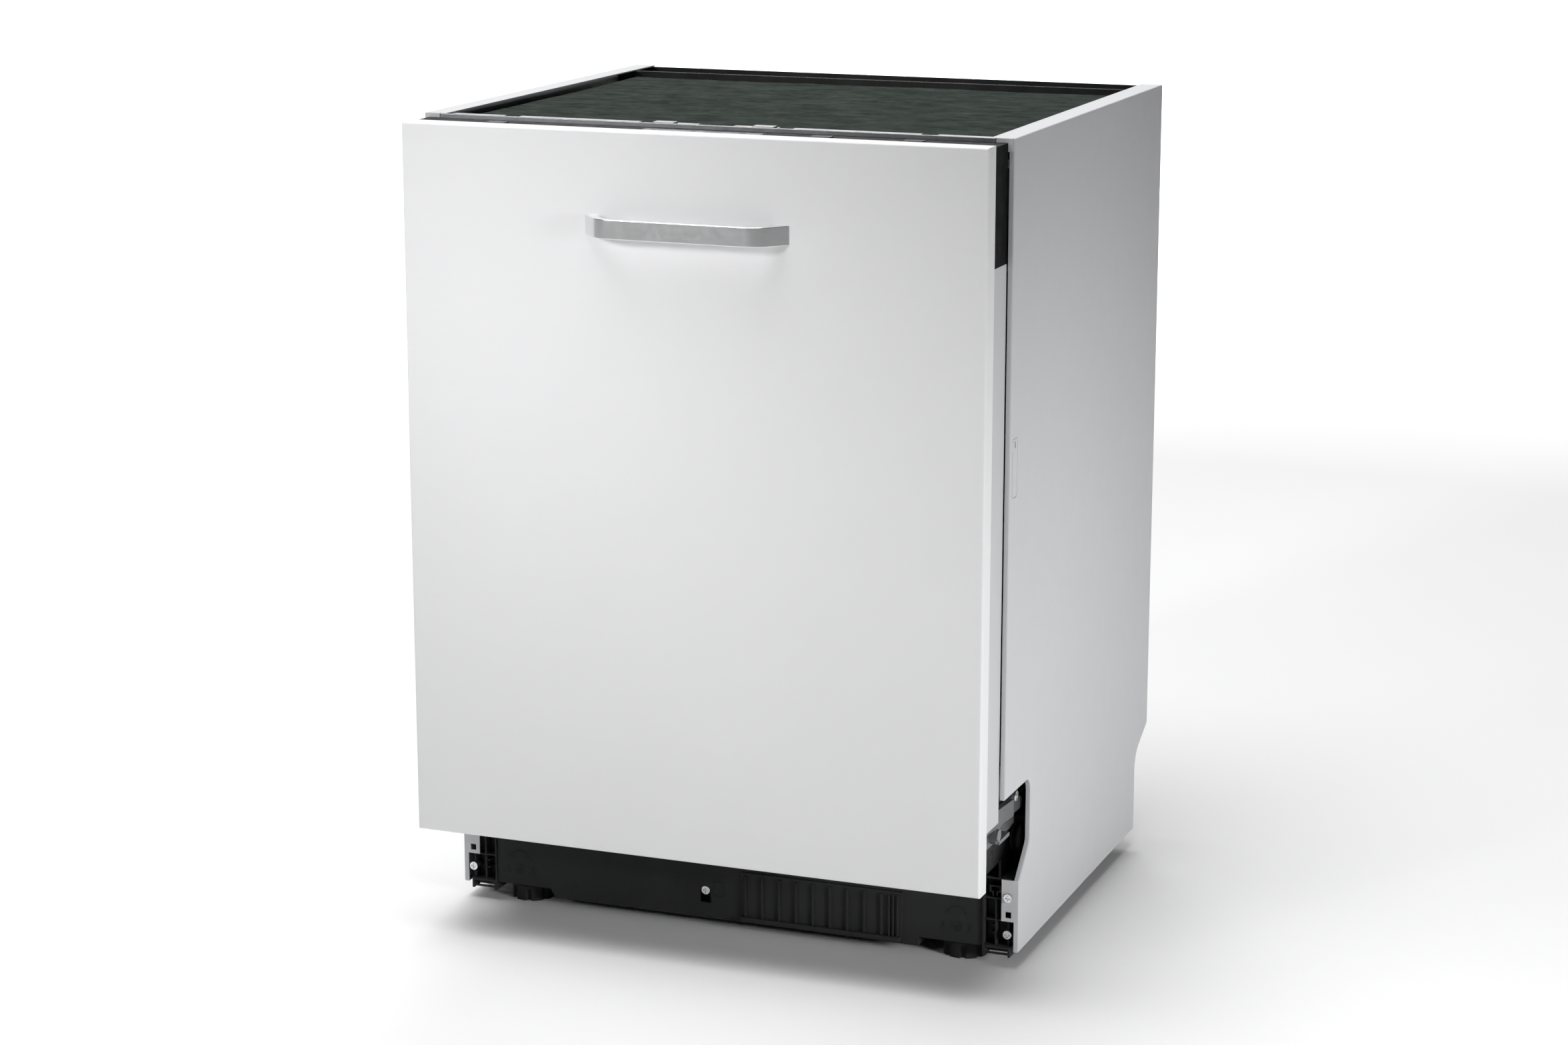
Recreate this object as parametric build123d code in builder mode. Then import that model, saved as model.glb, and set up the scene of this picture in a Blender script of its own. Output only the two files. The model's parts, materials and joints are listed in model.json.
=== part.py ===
from build123d import *
import os
from math import cos, radians, sin

os.makedirs("parts", exist_ok=True)

# Driving dimensions, millimetres. Depths are measured behind the cabinet front plane,
# negative in front of it; heights are measured from the floor.
WIDTH = 598
HEIGHT = 815
DEPTH = 510
SHEET = 1.2
RIM = 5.3
TOP_FLANGE = 23

DOOR_GAP = 2
DOOR_T = 37.6
DOOR_W = 586
DOOR_BOTTOM = 165
DOOR_TOP = 811
CONSOLE_BOTTOM = 700.5
PANEL_T = 20
PANEL_W = 587.2
PANEL_BOTTOM = 107.5
PANEL_TOP = 812.8
HANDLE_OUT = 25.4
HANDLE_W = 205
HANDLE_BOTTOM = 715
HANDLE_H = 18.4
HANDLE_SCREWS = 192

HINGE_DEPTH = 5
HINGE_HEIGHT = 150
PIN_CLEAR = 0.06

BASE_FRONT = 52
BASE_BACK = 462
SKIRT_BOTTOM = 10.5
SKIRT_RAISED = 19.6
CORNER_IN = 262
CORNER_OUT = 291
TAB_DEPTH = 50

TUB_W = 540
TUB_FRONT = 16
TUB_BACK = 486
TUB_FLOOR = 148
TUB_TOP = 792
TUB_WALL = 2
TUB_R = 14
SILL_TOP = 172

DOOR_BACK = -DOOR_GAP
DOOR_FRONT = -(DOOR_GAP + DOOR_T)
PANEL_FRONT = DOOR_FRONT - PANEL_T
HANDLE_FRONT = PANEL_FRONT - HANDLE_OUT
ORIGIN_DEPTH = (DEPTH + HANDLE_FRONT) / 2

HUB_DEPTH = 250
LOW_ARM_Z = 177
UP_ARM_Z = 486
ARM_HOLE = 8


def y(depth):
    """Row Y of a depth behind the cabinet front plane."""
    return depth - ORIGIN_DEPTH


def facing(depth):
    """Sketch plane facing the front at a depth: local x is X, local y is Z."""
    return Plane.XZ.offset(-y(depth))


def block(xs, depths, zs, mode=Mode.ADD):
    """Box between two limits on each axis."""
    with Locations((xs[0], y(depths[0]), zs[0])):
        Box(
            xs[1] - xs[0],
            depths[1] - depths[0],
            zs[1] - zs[0],
            align=(Align.MIN, Align.MIN, Align.MIN),
            mode=mode,
        )


def post(x, depth, zs, radius, mode=Mode.ADD):
    """Upright cylinder."""
    with Locations((x, y(depth), zs[0])):
        Cylinder(radius, zs[1] - zs[0], align=(Align.CENTER, Align.CENTER, Align.MIN), mode=mode)


def bar_x(xs, depth, z, radius, mode=Mode.ADD):
    """Cylinder along X."""
    with Locations((xs[0], y(depth), z)):
        Cylinder(
            radius,
            xs[1] - xs[0],
            rotation=(0, 90, 0),
            align=(Align.CENTER, Align.CENTER, Align.MIN),
            mode=mode,
        )


def bar_y(x, depths, z, radius, mode=Mode.ADD):
    """Cylinder along the depth."""
    with Locations((x, y(depths[0]), z)):
        Cylinder(
            radius,
            depths[1] - depths[0],
            rotation=(-90, 0, 0),
            align=(Align.CENTER, Align.CENTER, Align.MIN),
            mode=mode,
        )


def phillips(x, depth, z):
    """Cross recess pressed into a screw head that faces the front."""
    block((x - 2.6, x + 2.6), (depth, depth + 1.2), (z - 0.6, z + 0.6), Mode.SUBTRACT)
    block((x - 0.6, x + 0.6), (depth, depth + 1.2), (z - 2.6, z + 2.6), Mode.SUBTRACT)


def save(part, name):
    """Label a finished piece and write it."""
    part.label = name
    export_step(part, f"parts/{name}.step")


# --- cabinet sides ---------------------------------------------------------------

NOTCH_TOP = 187
NOTCH_STEP = 122
NOTCH_BACK = 83
JOG_TOP = 124.5
JOG_BOTTOM = 100
LOWER_BACK = 464
SIDE_BOTTOM = 17.4
TAB_IN = 281
TAB_BOTTOM = 48
TAB_TOP = 90.8
FOLD_R = 1.6
FRONT_FOLD = 1.6
FRONT_FOLD_IN = 281.5
FRONT_FOLD_BOTTOM = 803
SKIN_IN = WIDTH / 2 - 2

side_points = [
    (y(0), HEIGHT),
    (y(DEPTH), HEIGHT),
    (y(DEPTH), JOG_TOP),
    (y(LOWER_BACK), JOG_BOTTOM),
    (y(LOWER_BACK), SIDE_BOTTOM),
    (y(TAB_DEPTH), SIDE_BOTTOM),
    (y(TAB_DEPTH), TAB_TOP),
    (y(NOTCH_BACK), NOTCH_STEP),
    (y(NOTCH_BACK), NOTCH_TOP),
    (y(0), NOTCH_TOP),
]
side_rounds = [
    ((LOWER_BACK, JOG_BOTTOM), 24),
    ((NOTCH_BACK, NOTCH_STEP), 10),
    ((NOTCH_BACK, NOTCH_TOP), 14),
]

with BuildPart() as right_side_panel:
    with BuildSketch(Plane.YZ.offset(WIDTH / 2)) as side_outline:
        with BuildLine():
            Polyline(*side_points, close=True)
        make_face()
        for (depth, z), radius in side_rounds:
            fillet(side_outline.vertices().sort_by_distance((y(depth), z, 0))[0], radius)
    extrude(amount=-RIM)
    fillet(right_side_panel.faces().sort_by(Axis.X)[-1].edges(), FOLD_R)
    with BuildSketch(Plane.YZ.offset(WIDTH / 2 - SHEET)):
        offset(side_outline.sketch_local, amount=-SHEET)
    extrude(amount=-RIM, mode=Mode.SUBTRACT)
    block((WIDTH / 2 - TOP_FLANGE, SKIN_IN), (0, DEPTH), (HEIGHT - SHEET, HEIGHT))
    block((FRONT_FOLD_IN, SKIN_IN), (-FRONT_FOLD, 0), (FRONT_FOLD_BOTTOM, HEIGHT))
    block((284, SKIN_IN), (DEPTH - SHEET, DEPTH), (JOG_TOP + 6, HEIGHT))
    block((TAB_IN, SKIN_IN), (TAB_DEPTH, TAB_DEPTH + SHEET), (TAB_BOTTOM, TAB_TOP - 0.5))
    block((285, 291), (TAB_DEPTH - 1, TAB_DEPTH + 3), (51.6, 57.9), Mode.SUBTRACT)
    bar_y(288, (TAB_DEPTH - 1, TAB_DEPTH + 3), 72.5, 2.3, Mode.SUBTRACT)
    with BuildSketch(Plane.YZ.offset(WIDTH / 2 - 0.5)):
        with Locations((y(14), 507)):
            RectangleRounded(16, 57, 3.5)
            RectangleRounded(14.4, 55.4, 2.7, mode=Mode.SUBTRACT)
    extrude(amount=1, mode=Mode.SUBTRACT)
    with BuildSketch(Plane.YZ.offset(WIDTH / 2 + 1)):
        with Locations((y(14), 529)):
            SlotOverall(7, 3, rotation=90)
    extrude(amount=-4, mode=Mode.SUBTRACT)
save(right_side_panel.part, "right_side_panel")

with BuildPart() as left_side_panel:
    mirror(right_side_panel.part, about=Plane.YZ)
save(left_side_panel.part, "left_side_panel")

# --- top of the cabinet ------------------------------------------------------------

SHELF_Z = 811
SHELF_BACK = 21
TAB_SPANS = [(18, 63), (78, 204), (220, 275)]
CLIP_SPAN = (40, 61)
BRACKET_HOLE_X = 142
RAIL_FRONT = 457
RAIL_SCREW_X = 268
STRIP_HALF = FRONT_FOLD_IN - 0.5

with BuildPart() as front_top_rail:
    block((-STRIP_HALF, STRIP_HALF), (-FRONT_FOLD, 0), (FRONT_FOLD_BOTTOM, HEIGHT))
    top_edges = front_top_rail.edges().filter_by(Axis.X).group_by(Axis.Z)[-1]
    fillet(top_edges, 0.7)
    block((-275.5, 275.5), (-0.5, SHELF_BACK), (SHELF_Z, SHELF_Z + SHEET))
    block((-275.5, 275.5), (SHELF_BACK - SHEET, SHELF_BACK), (800, SHELF_Z))
    for side in (-1, 1):
        post(side * BRACKET_HOLE_X, 12, (SHELF_Z - 1, SHELF_Z + 3), 2.25, Mode.SUBTRACT)
    block((-16, 16), (3, 7), (792.2, SHELF_Z + 0.5))
    block((-10, 10), (2, 8), (794.5, 804.5), Mode.SUBTRACT)
save(front_top_rail.part, "front_top_rail")

with BuildPart() as worktop_brackets:
    for side in (-1, 1):
        for span in TAB_SPANS:
            ends = sorted(side * x for x in span)
            block(ends, (5, 20), (SHELF_Z + SHEET, SHELF_Z + 2 * SHEET))
        post(side * BRACKET_HOLE_X, 12, (SHELF_Z, SHELF_Z + 3), 2.25, Mode.SUBTRACT)
        clip_ends = sorted(side * x for x in CLIP_SPAN)
        block(clip_ends, (6, 17), (SHELF_Z + SHEET, HEIGHT))
save(worktop_brackets.part, "worktop_brackets")

with BuildPart() as top_insulation_mat:
    block((-275, 275), (SHELF_BACK + 1, RAIL_FRONT - 0.5), (TUB_TOP, 809))
    fillet(top_insulation_mat.edges().group_by(Axis.Z)[-1], 2)
save(top_insulation_mat.part, "top_insulation_mat")

with BuildPart() as rear_cross_rail:
    block((-297, 297), (RAIL_FRONT, DEPTH - 1.5), (800, 801.5))
    block((-297, 297), (RAIL_FRONT, RAIL_FRONT + 1.5), (800, 813.6))
    block((-297, 297), (DEPTH - 3, DEPTH - 1.5), (800, 813.6))
    block((-297, 297), (RAIL_FRONT, RAIL_FRONT + 5), (812.4, 813.6))
    for side in (-1, 1):
        for depth in (470, 496):
            post(side * RAIL_SCREW_X, depth, (799, 803), 1.75, Mode.SUBTRACT)
save(rear_cross_rail.part, "rear_cross_rail")

# --- tub ---------------------------------------------------------------------------

SUMP_X = (-105, 145)
SUMP_DEPTH = (125, 325)
SALT_X = -180
SALT_DEPTH = 340
FILTER_X = 80
FILTER_DEPTH = 185
LEDGE_IN = 246

with BuildPart() as tub:
    with BuildSketch(facing(TUB_FRONT)):
        with Locations((0, (TUB_FLOOR + TUB_TOP) / 2)):
            RectangleRounded(TUB_W, TUB_TOP - TUB_FLOOR, TUB_R)
    extrude(amount=-(TUB_BACK - TUB_FRONT))
    with BuildSketch(facing(TUB_FRONT)):
        with Locations((0, (TUB_FLOOR + TUB_TOP) / 2)):
            inside = (TUB_W - 2 * TUB_WALL, TUB_TOP - TUB_FLOOR - 2 * TUB_WALL)
            RectangleRounded(*inside, TUB_R - TUB_WALL)
    extrude(amount=-(TUB_BACK - TUB_FRONT - TUB_WALL), mode=Mode.SUBTRACT)
    with BuildSketch(facing(TUB_FRONT - 2)):
        with Locations((0, (TUB_FLOOR + 806) / 2)):
            RectangleRounded(552, 806 - TUB_FLOOR, 8)
        with Locations((0, (SILL_TOP + 788) / 2)):
            RectangleRounded(532, 788 - SILL_TOP, 12, mode=Mode.SUBTRACT)
    extrude(amount=-2)
    for side in (-1, 1):
        ends = sorted((side * LEDGE_IN, side * (TUB_W / 2 - 1)))
        block(ends, (TUB_FRONT, TUB_BACK - 1), (TUB_FLOOR + 1, SILL_TOP))
    block(SUMP_X, SUMP_DEPTH, (TUB_FLOOR - 1, TUB_FLOOR + 3), Mode.SUBTRACT)
    post(SALT_X, SALT_DEPTH, (TUB_FLOOR - 1, TUB_FLOOR + 3), 34, Mode.SUBTRACT)
save(tub.part, "tub")

with BuildPart() as tub_wrap:
    block((-273, 273), (60, TUB_BACK + 3), (165, 778))
    block((-TUB_W / 2, TUB_W / 2), (59, TUB_BACK), (164, 779), Mode.SUBTRACT)
save(tub_wrap.part, "tub_wrap")

with BuildPart() as tub_gasket:
    with BuildSketch(facing(-1.2)):
        with Locations((0, (SILL_TOP + 791) / 2)):
            RectangleRounded(552, 791 - SILL_TOP, 12)
        with Locations((0, (SILL_TOP + 782) / 2)):
            RectangleRounded(532, 782 - SILL_TOP, 4, mode=Mode.SUBTRACT)
        with Locations((0, SILL_TOP)):
            Rectangle(600, 24, mode=Mode.SUBTRACT)
    extrude(amount=-(TUB_FRONT - 2 + 1.2))
save(tub_gasket.part, "tub_gasket")

with BuildPart() as feed_tube:
    block((-22, 22), (470, TUB_BACK - TUB_WALL), (TUB_FLOOR + 2, 786))
    fillet(feed_tube.edges().filter_by(Axis.Z).group_by(Axis.Y)[0], 6)
    block((-16, 16), (HUB_DEPTH - 16, 472), (775, 785))
    block((-18, 18), (460, 471), (497, 517))
    bar_y(0, (459, 468), 507, 7, Mode.SUBTRACT)
    post(0, HUB_DEPTH, (766, 776), 26)
    post(0, HUB_DEPTH, (760, 767), 18)
save(feed_tube.part, "feed_tube")

RAIL_Z = (549, 573)
ROLLER_Z = 561

with BuildPart() as basket_rails:
    for side in (-1, 1):
        block(sorted((side * 266.4, side * 268)), (30, 470), RAIL_Z)
        for z in (RAIL_Z[0], RAIL_Z[1] - 1.6):
            block(sorted((side * 254, side * 268)), (30, 470), (z, z + 1.6))
save(basket_rails.part, "basket_rails")

# --- base --------------------------------------------------------------------------

TRAY_FLOOR = 20
TRAY_WALL = 2.5
SEAM = 0.05
TRAY_TOP = 140
TRAY_STEP = 100
TRAY_HALF = 294
FRONT_HALF = 261.5
SKIRT_TOP = 126
FOOT_X = 235
FOOT_DEPTH = 82
REAR_FOOT_DEPTH = 430
ROD_X = -31.3
ROD_Z = 38.9
STEM_R = 5
BOSS_R = 10
BOSS_TOP = 58
FOOT_R = 22
FOOT_H = 16
GRILLE_X = (9, 179.5)
GRILLE_Z = (18.4, 60.8)
feet_places = [(-FOOT_X, FOOT_DEPTH), (FOOT_X, FOOT_DEPTH), (ROD_X, REAR_FOOT_DEPTH)]

with BuildPart() as base_tray:
    block((-TRAY_HALF, TRAY_HALF), (TRAY_STEP, BASE_BACK), (TRAY_FLOOR, TRAY_TOP))
    block((-FRONT_HALF, FRONT_HALF), (BASE_FRONT, TRAY_STEP + 1), (TRAY_FLOOR, SKIRT_TOP))
    block(
        (TRAY_WALL - TRAY_HALF, TRAY_HALF - TRAY_WALL),
        (TRAY_STEP + TRAY_WALL, BASE_BACK - TRAY_WALL),
        (TRAY_FLOOR + 3, TRAY_TOP + 1),
        Mode.SUBTRACT,
    )
    block(
        (TRAY_WALL - FRONT_HALF, FRONT_HALF - TRAY_WALL),
        (BASE_FRONT + 3, TRAY_STEP + 3),
        (TRAY_FLOOR + 3, TRAY_TOP + 1),
        Mode.SUBTRACT,
    )
    with BuildSketch(facing(BASE_FRONT)) as skirt:
        with BuildLine():
            Polyline(
                (-FRONT_HALF, SKIRT_RAISED),
                (-201.8, SKIRT_RAISED),
                (-197, SKIRT_BOTTOM),
                (195.3, SKIRT_BOTTOM),
                (195.3, SKIRT_RAISED),
                (FRONT_HALF, SKIRT_RAISED),
                (FRONT_HALF, 30),
                (-FRONT_HALF, 30),
                close=True,
            )
        make_face()
    extrude(amount=-3)
    block((177, 180), (BASE_FRONT, BASE_FRONT + 22), (SKIRT_BOTTOM, TRAY_FLOOR + 1))
    block((192.3, 195.3), (BASE_FRONT, BASE_FRONT + 22), (SKIRT_BOTTOM, TRAY_FLOOR + 1))
    for x, depth in feet_places:
        post(x, depth, (TRAY_FLOOR, BOSS_TOP), BOSS_R)
        post(x, depth, (TRAY_FLOOR - 1, BOSS_TOP + 1), STEM_R + 0.3, Mode.SUBTRACT)
    block((GRILLE_X[0] + 4, GRILLE_X[1] - 6), (BASE_FRONT - 1, BASE_FRONT + 4), (26, 57), Mode.SUBTRACT)
    with BuildSketch(facing(BASE_FRONT - 1)):
        with Locations((ROD_X + 0.5, 32)):
            Rectangle(12.1, 11)
        with Locations((ROD_X + 0.5, 37.5)):
            Circle(6.05)
    extrude(amount=-5, mode=Mode.SUBTRACT)
    block((ROD_X - 9, ROD_X + 9), (392, 396), (TRAY_FLOOR + 1, ROD_Z + 8))
    bar_y(ROD_X, (391, 397), ROD_Z, 4.06, Mode.SUBTRACT)
    block((ROD_X - 9, ROD_X + 9), (64, 68), (TRAY_FLOOR + 1, ROD_Z + 8))
    bar_y(ROD_X, (63, 69), ROD_Z, 4.06, Mode.SUBTRACT)
    for x, z, radius in ((225, 80, 8), (-60, 90, 8), (-220, 80, 6)):
        bar_y(x, (BASE_BACK - 4, BASE_BACK + 1), z, radius, Mode.SUBTRACT)
    # seams, so that the skirt, the floor and every wall of the tray are flat solids of their own
    skirt_back = BASE_FRONT + 3
    wall_foot = TRAY_FLOOR + 3
    everywhere = (-WIDTH / 2, WIDTH / 2)
    block(everywhere, (skirt_back, skirt_back + SEAM), (SKIRT_BOTTOM - 1, TRAY_TOP), Mode.SUBTRACT)
    block(everywhere, (skirt_back, BASE_BACK + 1), (wall_foot, wall_foot + SEAM), Mode.SUBTRACT)
    for side in (-1, 1):
        corner = side * (TRAY_HALF - TRAY_WALL)
        seam_x = sorted((corner, corner - side * SEAM))
        block(seam_x, (TRAY_STEP - 1, BASE_BACK + 1), (wall_foot, TRAY_TOP + 1), Mode.SUBTRACT)
        recess = sorted((side * (FRONT_HALF - TRAY_WALL - 1), side * (FRONT_HALF + 1)))
        block(recess, (TRAY_STEP - SEAM, TRAY_STEP), (wall_foot, TRAY_TOP + 1), Mode.SUBTRACT)
save(base_tray.part, "base_tray")

GRILLE_PITCH = 18
with BuildPart() as access_grille:
    block(GRILLE_X, (50, BASE_FRONT), GRILLE_Z)
    block(GRILLE_X, (50, BASE_FRONT), (GRILLE_Z[1], 64))
    for i in range(9):
        x = 13.9 + GRILLE_PITCH * i
        block((x - 1.1, x + 1.1), (48, 50.5), GRILLE_Z)
    for i in range(3):
        x = 166 + 4.4 * i
        block((x - 0.8, x + 0.8), (48, 50.5), GRILLE_Z)
    block((GRILLE_X[0] + 1, GRILLE_X[1] - 2), (45.5, BASE_FRONT), (13.8, GRILLE_Z[0]))
save(access_grille.part, "access_grille")

RIB = 1.5
with BuildPart() as corner_block:
    block((CORNER_IN, CORNER_OUT), (64, 91), (20.7, 91))
    block((CORNER_IN, CORNER_IN + RIB), (TAB_DEPTH, 65), (11.1, 91))
    block((274.2, 274.2 + RIB), (52, 65), (21, 70))
    block((287, 288.4), (53, 65), (21, 48))
    for z in (20.7, 47, 69, 89.5):
        block((CORNER_IN, CORNER_OUT), (TAB_DEPTH + 2, 65), (z, z + RIB))
    for z in (33.5, 41):
        block((270.5, 275), (53, 65), (z, z + 1.2))
    block((267.5, 279), (54, 65), (80.5, 82))
    block((267.5, 269), (54, 65), (76, 82))
    block((277.5, 279), (54, 65), (76, 82))
    for x in (267.5, 274.6):
        block((x, x + 4.4), (54, 65), (75, 76.5))
    for x in (270.5, 274.6):
        block((x, x + RIB), (54, 65), (69, 76))
    block((CORNER_IN, CORNER_OUT - 1), (TAB_DEPTH, 88), (19, 21.5))
    block((CORNER_IN, CORNER_OUT - 1), (TAB_DEPTH, 52), (13.2, 15))
    block((CORNER_OUT - 3, CORNER_OUT - 1), (TAB_DEPTH, 72), (11.1, 20))
    block((CORNER_IN, CORNER_IN + 3), (TAB_DEPTH, 72), (11.1, 20))
    block((CORNER_IN, CORNER_OUT - 1), (60, 72), (13.2, 20))
    block((CORNER_IN, CORNER_IN + 2), (TAB_DEPTH + 1, 91), (90, SKIRT_TOP))
    block((CORNER_IN, 277.3), (89, 91), (90, SKIRT_TOP))
    for x, z in ((288, 72.5), (287.6, 34.7)):
        bar_y(x, (TAB_DEPTH + SHEET, 80), z, 4)
        bar_y(x, (TAB_DEPTH - 2, 76), z, 1.8, Mode.SUBTRACT)
    block((285, 292), (TAB_DEPTH - 2, TAB_DEPTH + SHEET), (48, 91), Mode.SUBTRACT)

with BuildPart() as corner_blocks:
    add(corner_block.part)
    mirror(corner_block.part, about=Plane.YZ)
save(corner_blocks.part, "corner_blocks")

with BuildPart() as cabinet_screws:
    for side in (-1, 1):
        for x, z, seat in ((288, 72.5, TAB_DEPTH), (287.6, 34.7, TAB_DEPTH + SHEET)):
            bar_y(side * x, (seat - 2.6, seat), z, 4.3)
            bar_y(side * x, (seat, 75), z, 1.8)
            phillips(side * x, seat - 2.6, z)
        for depth in (470, 496):
            x = side * RAIL_SCREW_X
            post(x, depth, (801.5, 804), 4)
            post(x, depth, (794, 802), 1.75)
            block((x - 2.4, x + 2.4), (depth - 0.5, depth + 0.5), (803, 805), Mode.SUBTRACT)
            block((x - 0.5, x + 0.5), (depth - 2.4, depth + 2.4), (803, 805), Mode.SUBTRACT)
save(cabinet_screws.part, "cabinet_screws")


def levelling_foot(x, depth, stem_top):
    """Threaded stem on a round foot with wrench notches in its rim."""
    post(x, depth, (0, FOOT_H), FOOT_R)
    for i in range(8):
        angle = radians(45 * i + 10)
        with Locations((x + FOOT_R * cos(angle), y(depth) + FOOT_R * sin(angle), 0)):
            Cylinder(3, FOOT_H - 3, align=(Align.CENTER, Align.CENTER, Align.MIN), mode=Mode.SUBTRACT)
    post(x, depth, (FOOT_H - 1, stem_top), STEM_R)


with BuildPart() as left_front_foot:
    levelling_foot(-FOOT_X, FOOT_DEPTH, 84)
save(left_front_foot.part, "left_front_foot")

with BuildPart() as right_front_foot:
    levelling_foot(FOOT_X, FOOT_DEPTH, 84)
save(right_front_foot.part, "right_front_foot")

with BuildPart() as rear_foot:
    levelling_foot(ROD_X, REAR_FOOT_DEPTH, 84)
save(rear_foot.part, "rear_foot")

with BuildPart() as rear_foot_adjuster:
    bar_y(ROD_X, (56, 402), ROD_Z, 4)
    bar_y(ROD_X, (54, 57.5), ROD_Z, 4.5)
    bar_y(ROD_X, (402, 414), ROD_Z, 7)
    phillips(ROD_X, 54, ROD_Z)
save(rear_foot_adjuster.part, "rear_foot_adjuster")


def sump_ring(margin, zs, mode=Mode.ADD):
    """Box that stands past the sump hole by a margin on every side."""
    xs = (SUMP_X[0] - margin, SUMP_X[1] + margin)
    depths = (SUMP_DEPTH[0] - margin, SUMP_DEPTH[1] + margin)
    block(xs, depths, zs, mode)


with BuildPart() as sump:
    sump_ring(-0.5, (70, TUB_FLOOR))
    fillet(sump.edges().filter_by(Axis.Z), 12)
    sump_ring(8, (144, TUB_FLOOR))
    sump_ring(-4, (74, TUB_FLOOR + 1), Mode.SUBTRACT)
    post(0, HUB_DEPTH, (72, LOW_ARM_Z - 1), 15)
    post(0, HUB_DEPTH, (LOW_ARM_Z - 2, LOW_ARM_Z + 15), ARM_HOLE)
    post(0, HUB_DEPTH, (LOW_ARM_Z + 12.5, LOW_ARM_Z + 16), 12)
save(sump.part, "sump")

with BuildPart() as circulation_pump:
    bar_x((153.5, 180), 225, 100, 44)
    bar_x((180, 245), 225, 100, 36)
    bar_x((245, 250), 225, 100, 30)
    fillet(circulation_pump.edges().filter_by(GeomType.CIRCLE).group_by(Axis.X)[-1], 2)
    block((160, 240), (205, 245), (TRAY_FLOOR + 3, 66))
save(circulation_pump.part, "circulation_pump")

with BuildPart() as drain_pump:
    bar_y(20, (104, 116.5), 95, 30)
    bar_y(20, (66, 104), 95, 22)
    block((12, 28), (80, 96), (TRAY_FLOOR + 3, 75))
save(drain_pump.part, "drain_pump")

with BuildPart() as salt_tank:
    block((-238, -122), (275, 405), (60, 146))
    fillet(salt_tank.edges().filter_by(Axis.Z), 10)
    post(SALT_X, SALT_DEPTH, (145, 156), 33)
    post(SALT_X, SALT_DEPTH, (66, 157), 28, Mode.SUBTRACT)
    block((-210, -150), (300, 380), (TRAY_FLOOR + 3, 60.5))
save(salt_tank.part, "salt_tank")

with BuildPart() as salt_cap:
    post(SALT_X, SALT_DEPTH, (151, 168), 38)
    post(SALT_X, SALT_DEPTH, (150, 158), 33.4, Mode.SUBTRACT)
    post(SALT_X, SALT_DEPTH, (159.5, 169), 34, Mode.SUBTRACT)
    block((SALT_X - 33.5, SALT_X + 33.5), (SALT_DEPTH - 4, SALT_DEPTH + 4), (159, 173))
save(salt_cap.part, "salt_cap")

with BuildPart() as air_break:
    block((-296, -275), (130, 430), (200, 660))
    fillet(air_break.edges().filter_by(Axis.X), 20)
save(air_break.part, "air_break")

INLET_X = 225
DRAIN_X = -60
GLAND_X = -220
with BuildPart() as inlet_valve:
    block((INLET_X - 20, INLET_X + 20), (BASE_BACK, 482), (58, 102))
    fillet(inlet_valve.edges().filter_by(Axis.Y), 5)
    bar_y(INLET_X, (481, 500), 80, 13.2)
    bar_y(INLET_X, (486, 501), 80, 9, Mode.SUBTRACT)
    bar_y(INLET_X, (BASE_BACK - 14, BASE_BACK + 1), 80, 7.8)
save(inlet_valve.part, "inlet_valve")

with BuildPart() as drain_connector:
    bar_y(DRAIN_X, (BASE_BACK, BASE_BACK + 4), 90, 16)
    bar_y(DRAIN_X, (BASE_BACK + 3, 500), 90, 9.5)
    bar_y(DRAIN_X, (BASE_BACK - 14, BASE_BACK + 1), 90, 7.8)
    bar_y(DRAIN_X, (BASE_BACK - 15, 501), 90, 6, Mode.SUBTRACT)
save(drain_connector.part, "drain_connector")

with BuildPart() as cable_gland:
    bar_y(GLAND_X, (BASE_BACK, BASE_BACK + 12), 80, 10)
    bar_y(GLAND_X, (BASE_BACK - 8, BASE_BACK + 1), 80, 5.8)
    bar_y(GLAND_X, (BASE_BACK - 9, BASE_BACK + 13), 80, 3.75, Mode.SUBTRACT)
save(cable_gland.part, "cable_gland")

# --- filters and spray arms ----------------------------------------------------------

with BuildPart() as fine_filter:
    block((-125, 165), (105, 345), (TUB_FLOOR + 2, TUB_FLOOR + 3.5))
    fillet(fine_filter.edges().filter_by(Axis.Z), 14)
    post(0, HUB_DEPTH, (140, 160), 16, Mode.SUBTRACT)
    post(FILTER_X, FILTER_DEPTH, (140, 160), 37, Mode.SUBTRACT)
save(fine_filter.part, "fine_filter")

with BuildPart() as coarse_filter:
    post(FILTER_X, FILTER_DEPTH, (90, 156), 35)
    post(FILTER_X, FILTER_DEPTH, (94, 157), 32, Mode.SUBTRACT)
    block((FILTER_X - 33, FILTER_X + 33), (FILTER_DEPTH - 3, FILTER_DEPTH + 3), (150, 168))
save(coarse_filter.part, "coarse_filter")


def spray_arm(z, reach, hole):
    """Two-blade spray arm with a hub and spray holes along its top."""
    with BuildSketch(Plane.XY.offset(z)) as blade:
        with Locations((0, y(HUB_DEPTH))):
            SlotOverall(2 * reach, 34)
            Circle(24)
    extrude(blade.sketch, amount=9)
    post(0, HUB_DEPTH, (z, z + 11), 19)
    post(0, HUB_DEPTH, (z - 2, z + 14), hole, Mode.SUBTRACT)
    for i in range(6):
        for side in (-1, 1):
            x = side * (0.25 + 0.13 * i) * reach
            post(x, HUB_DEPTH + 4 - 1.5 * i, (z + 6, z + 12), 1.6, Mode.SUBTRACT)


with BuildPart() as lower_spray_arm:
    spray_arm(LOW_ARM_Z, 205, ARM_HOLE + PIN_CLEAR)
save(lower_spray_arm.part, "lower_spray_arm")

with BuildPart() as upper_spray_arm:
    spray_arm(UP_ARM_Z, 195, ARM_HOLE + PIN_CLEAR)
save(upper_spray_arm.part, "upper_spray_arm")

# --- baskets ---------------------------------------------------------------------------

WIRE = 4
WELD = 0.05
BASKET_FRONT = 46
BASKET_BACK = 456


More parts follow.
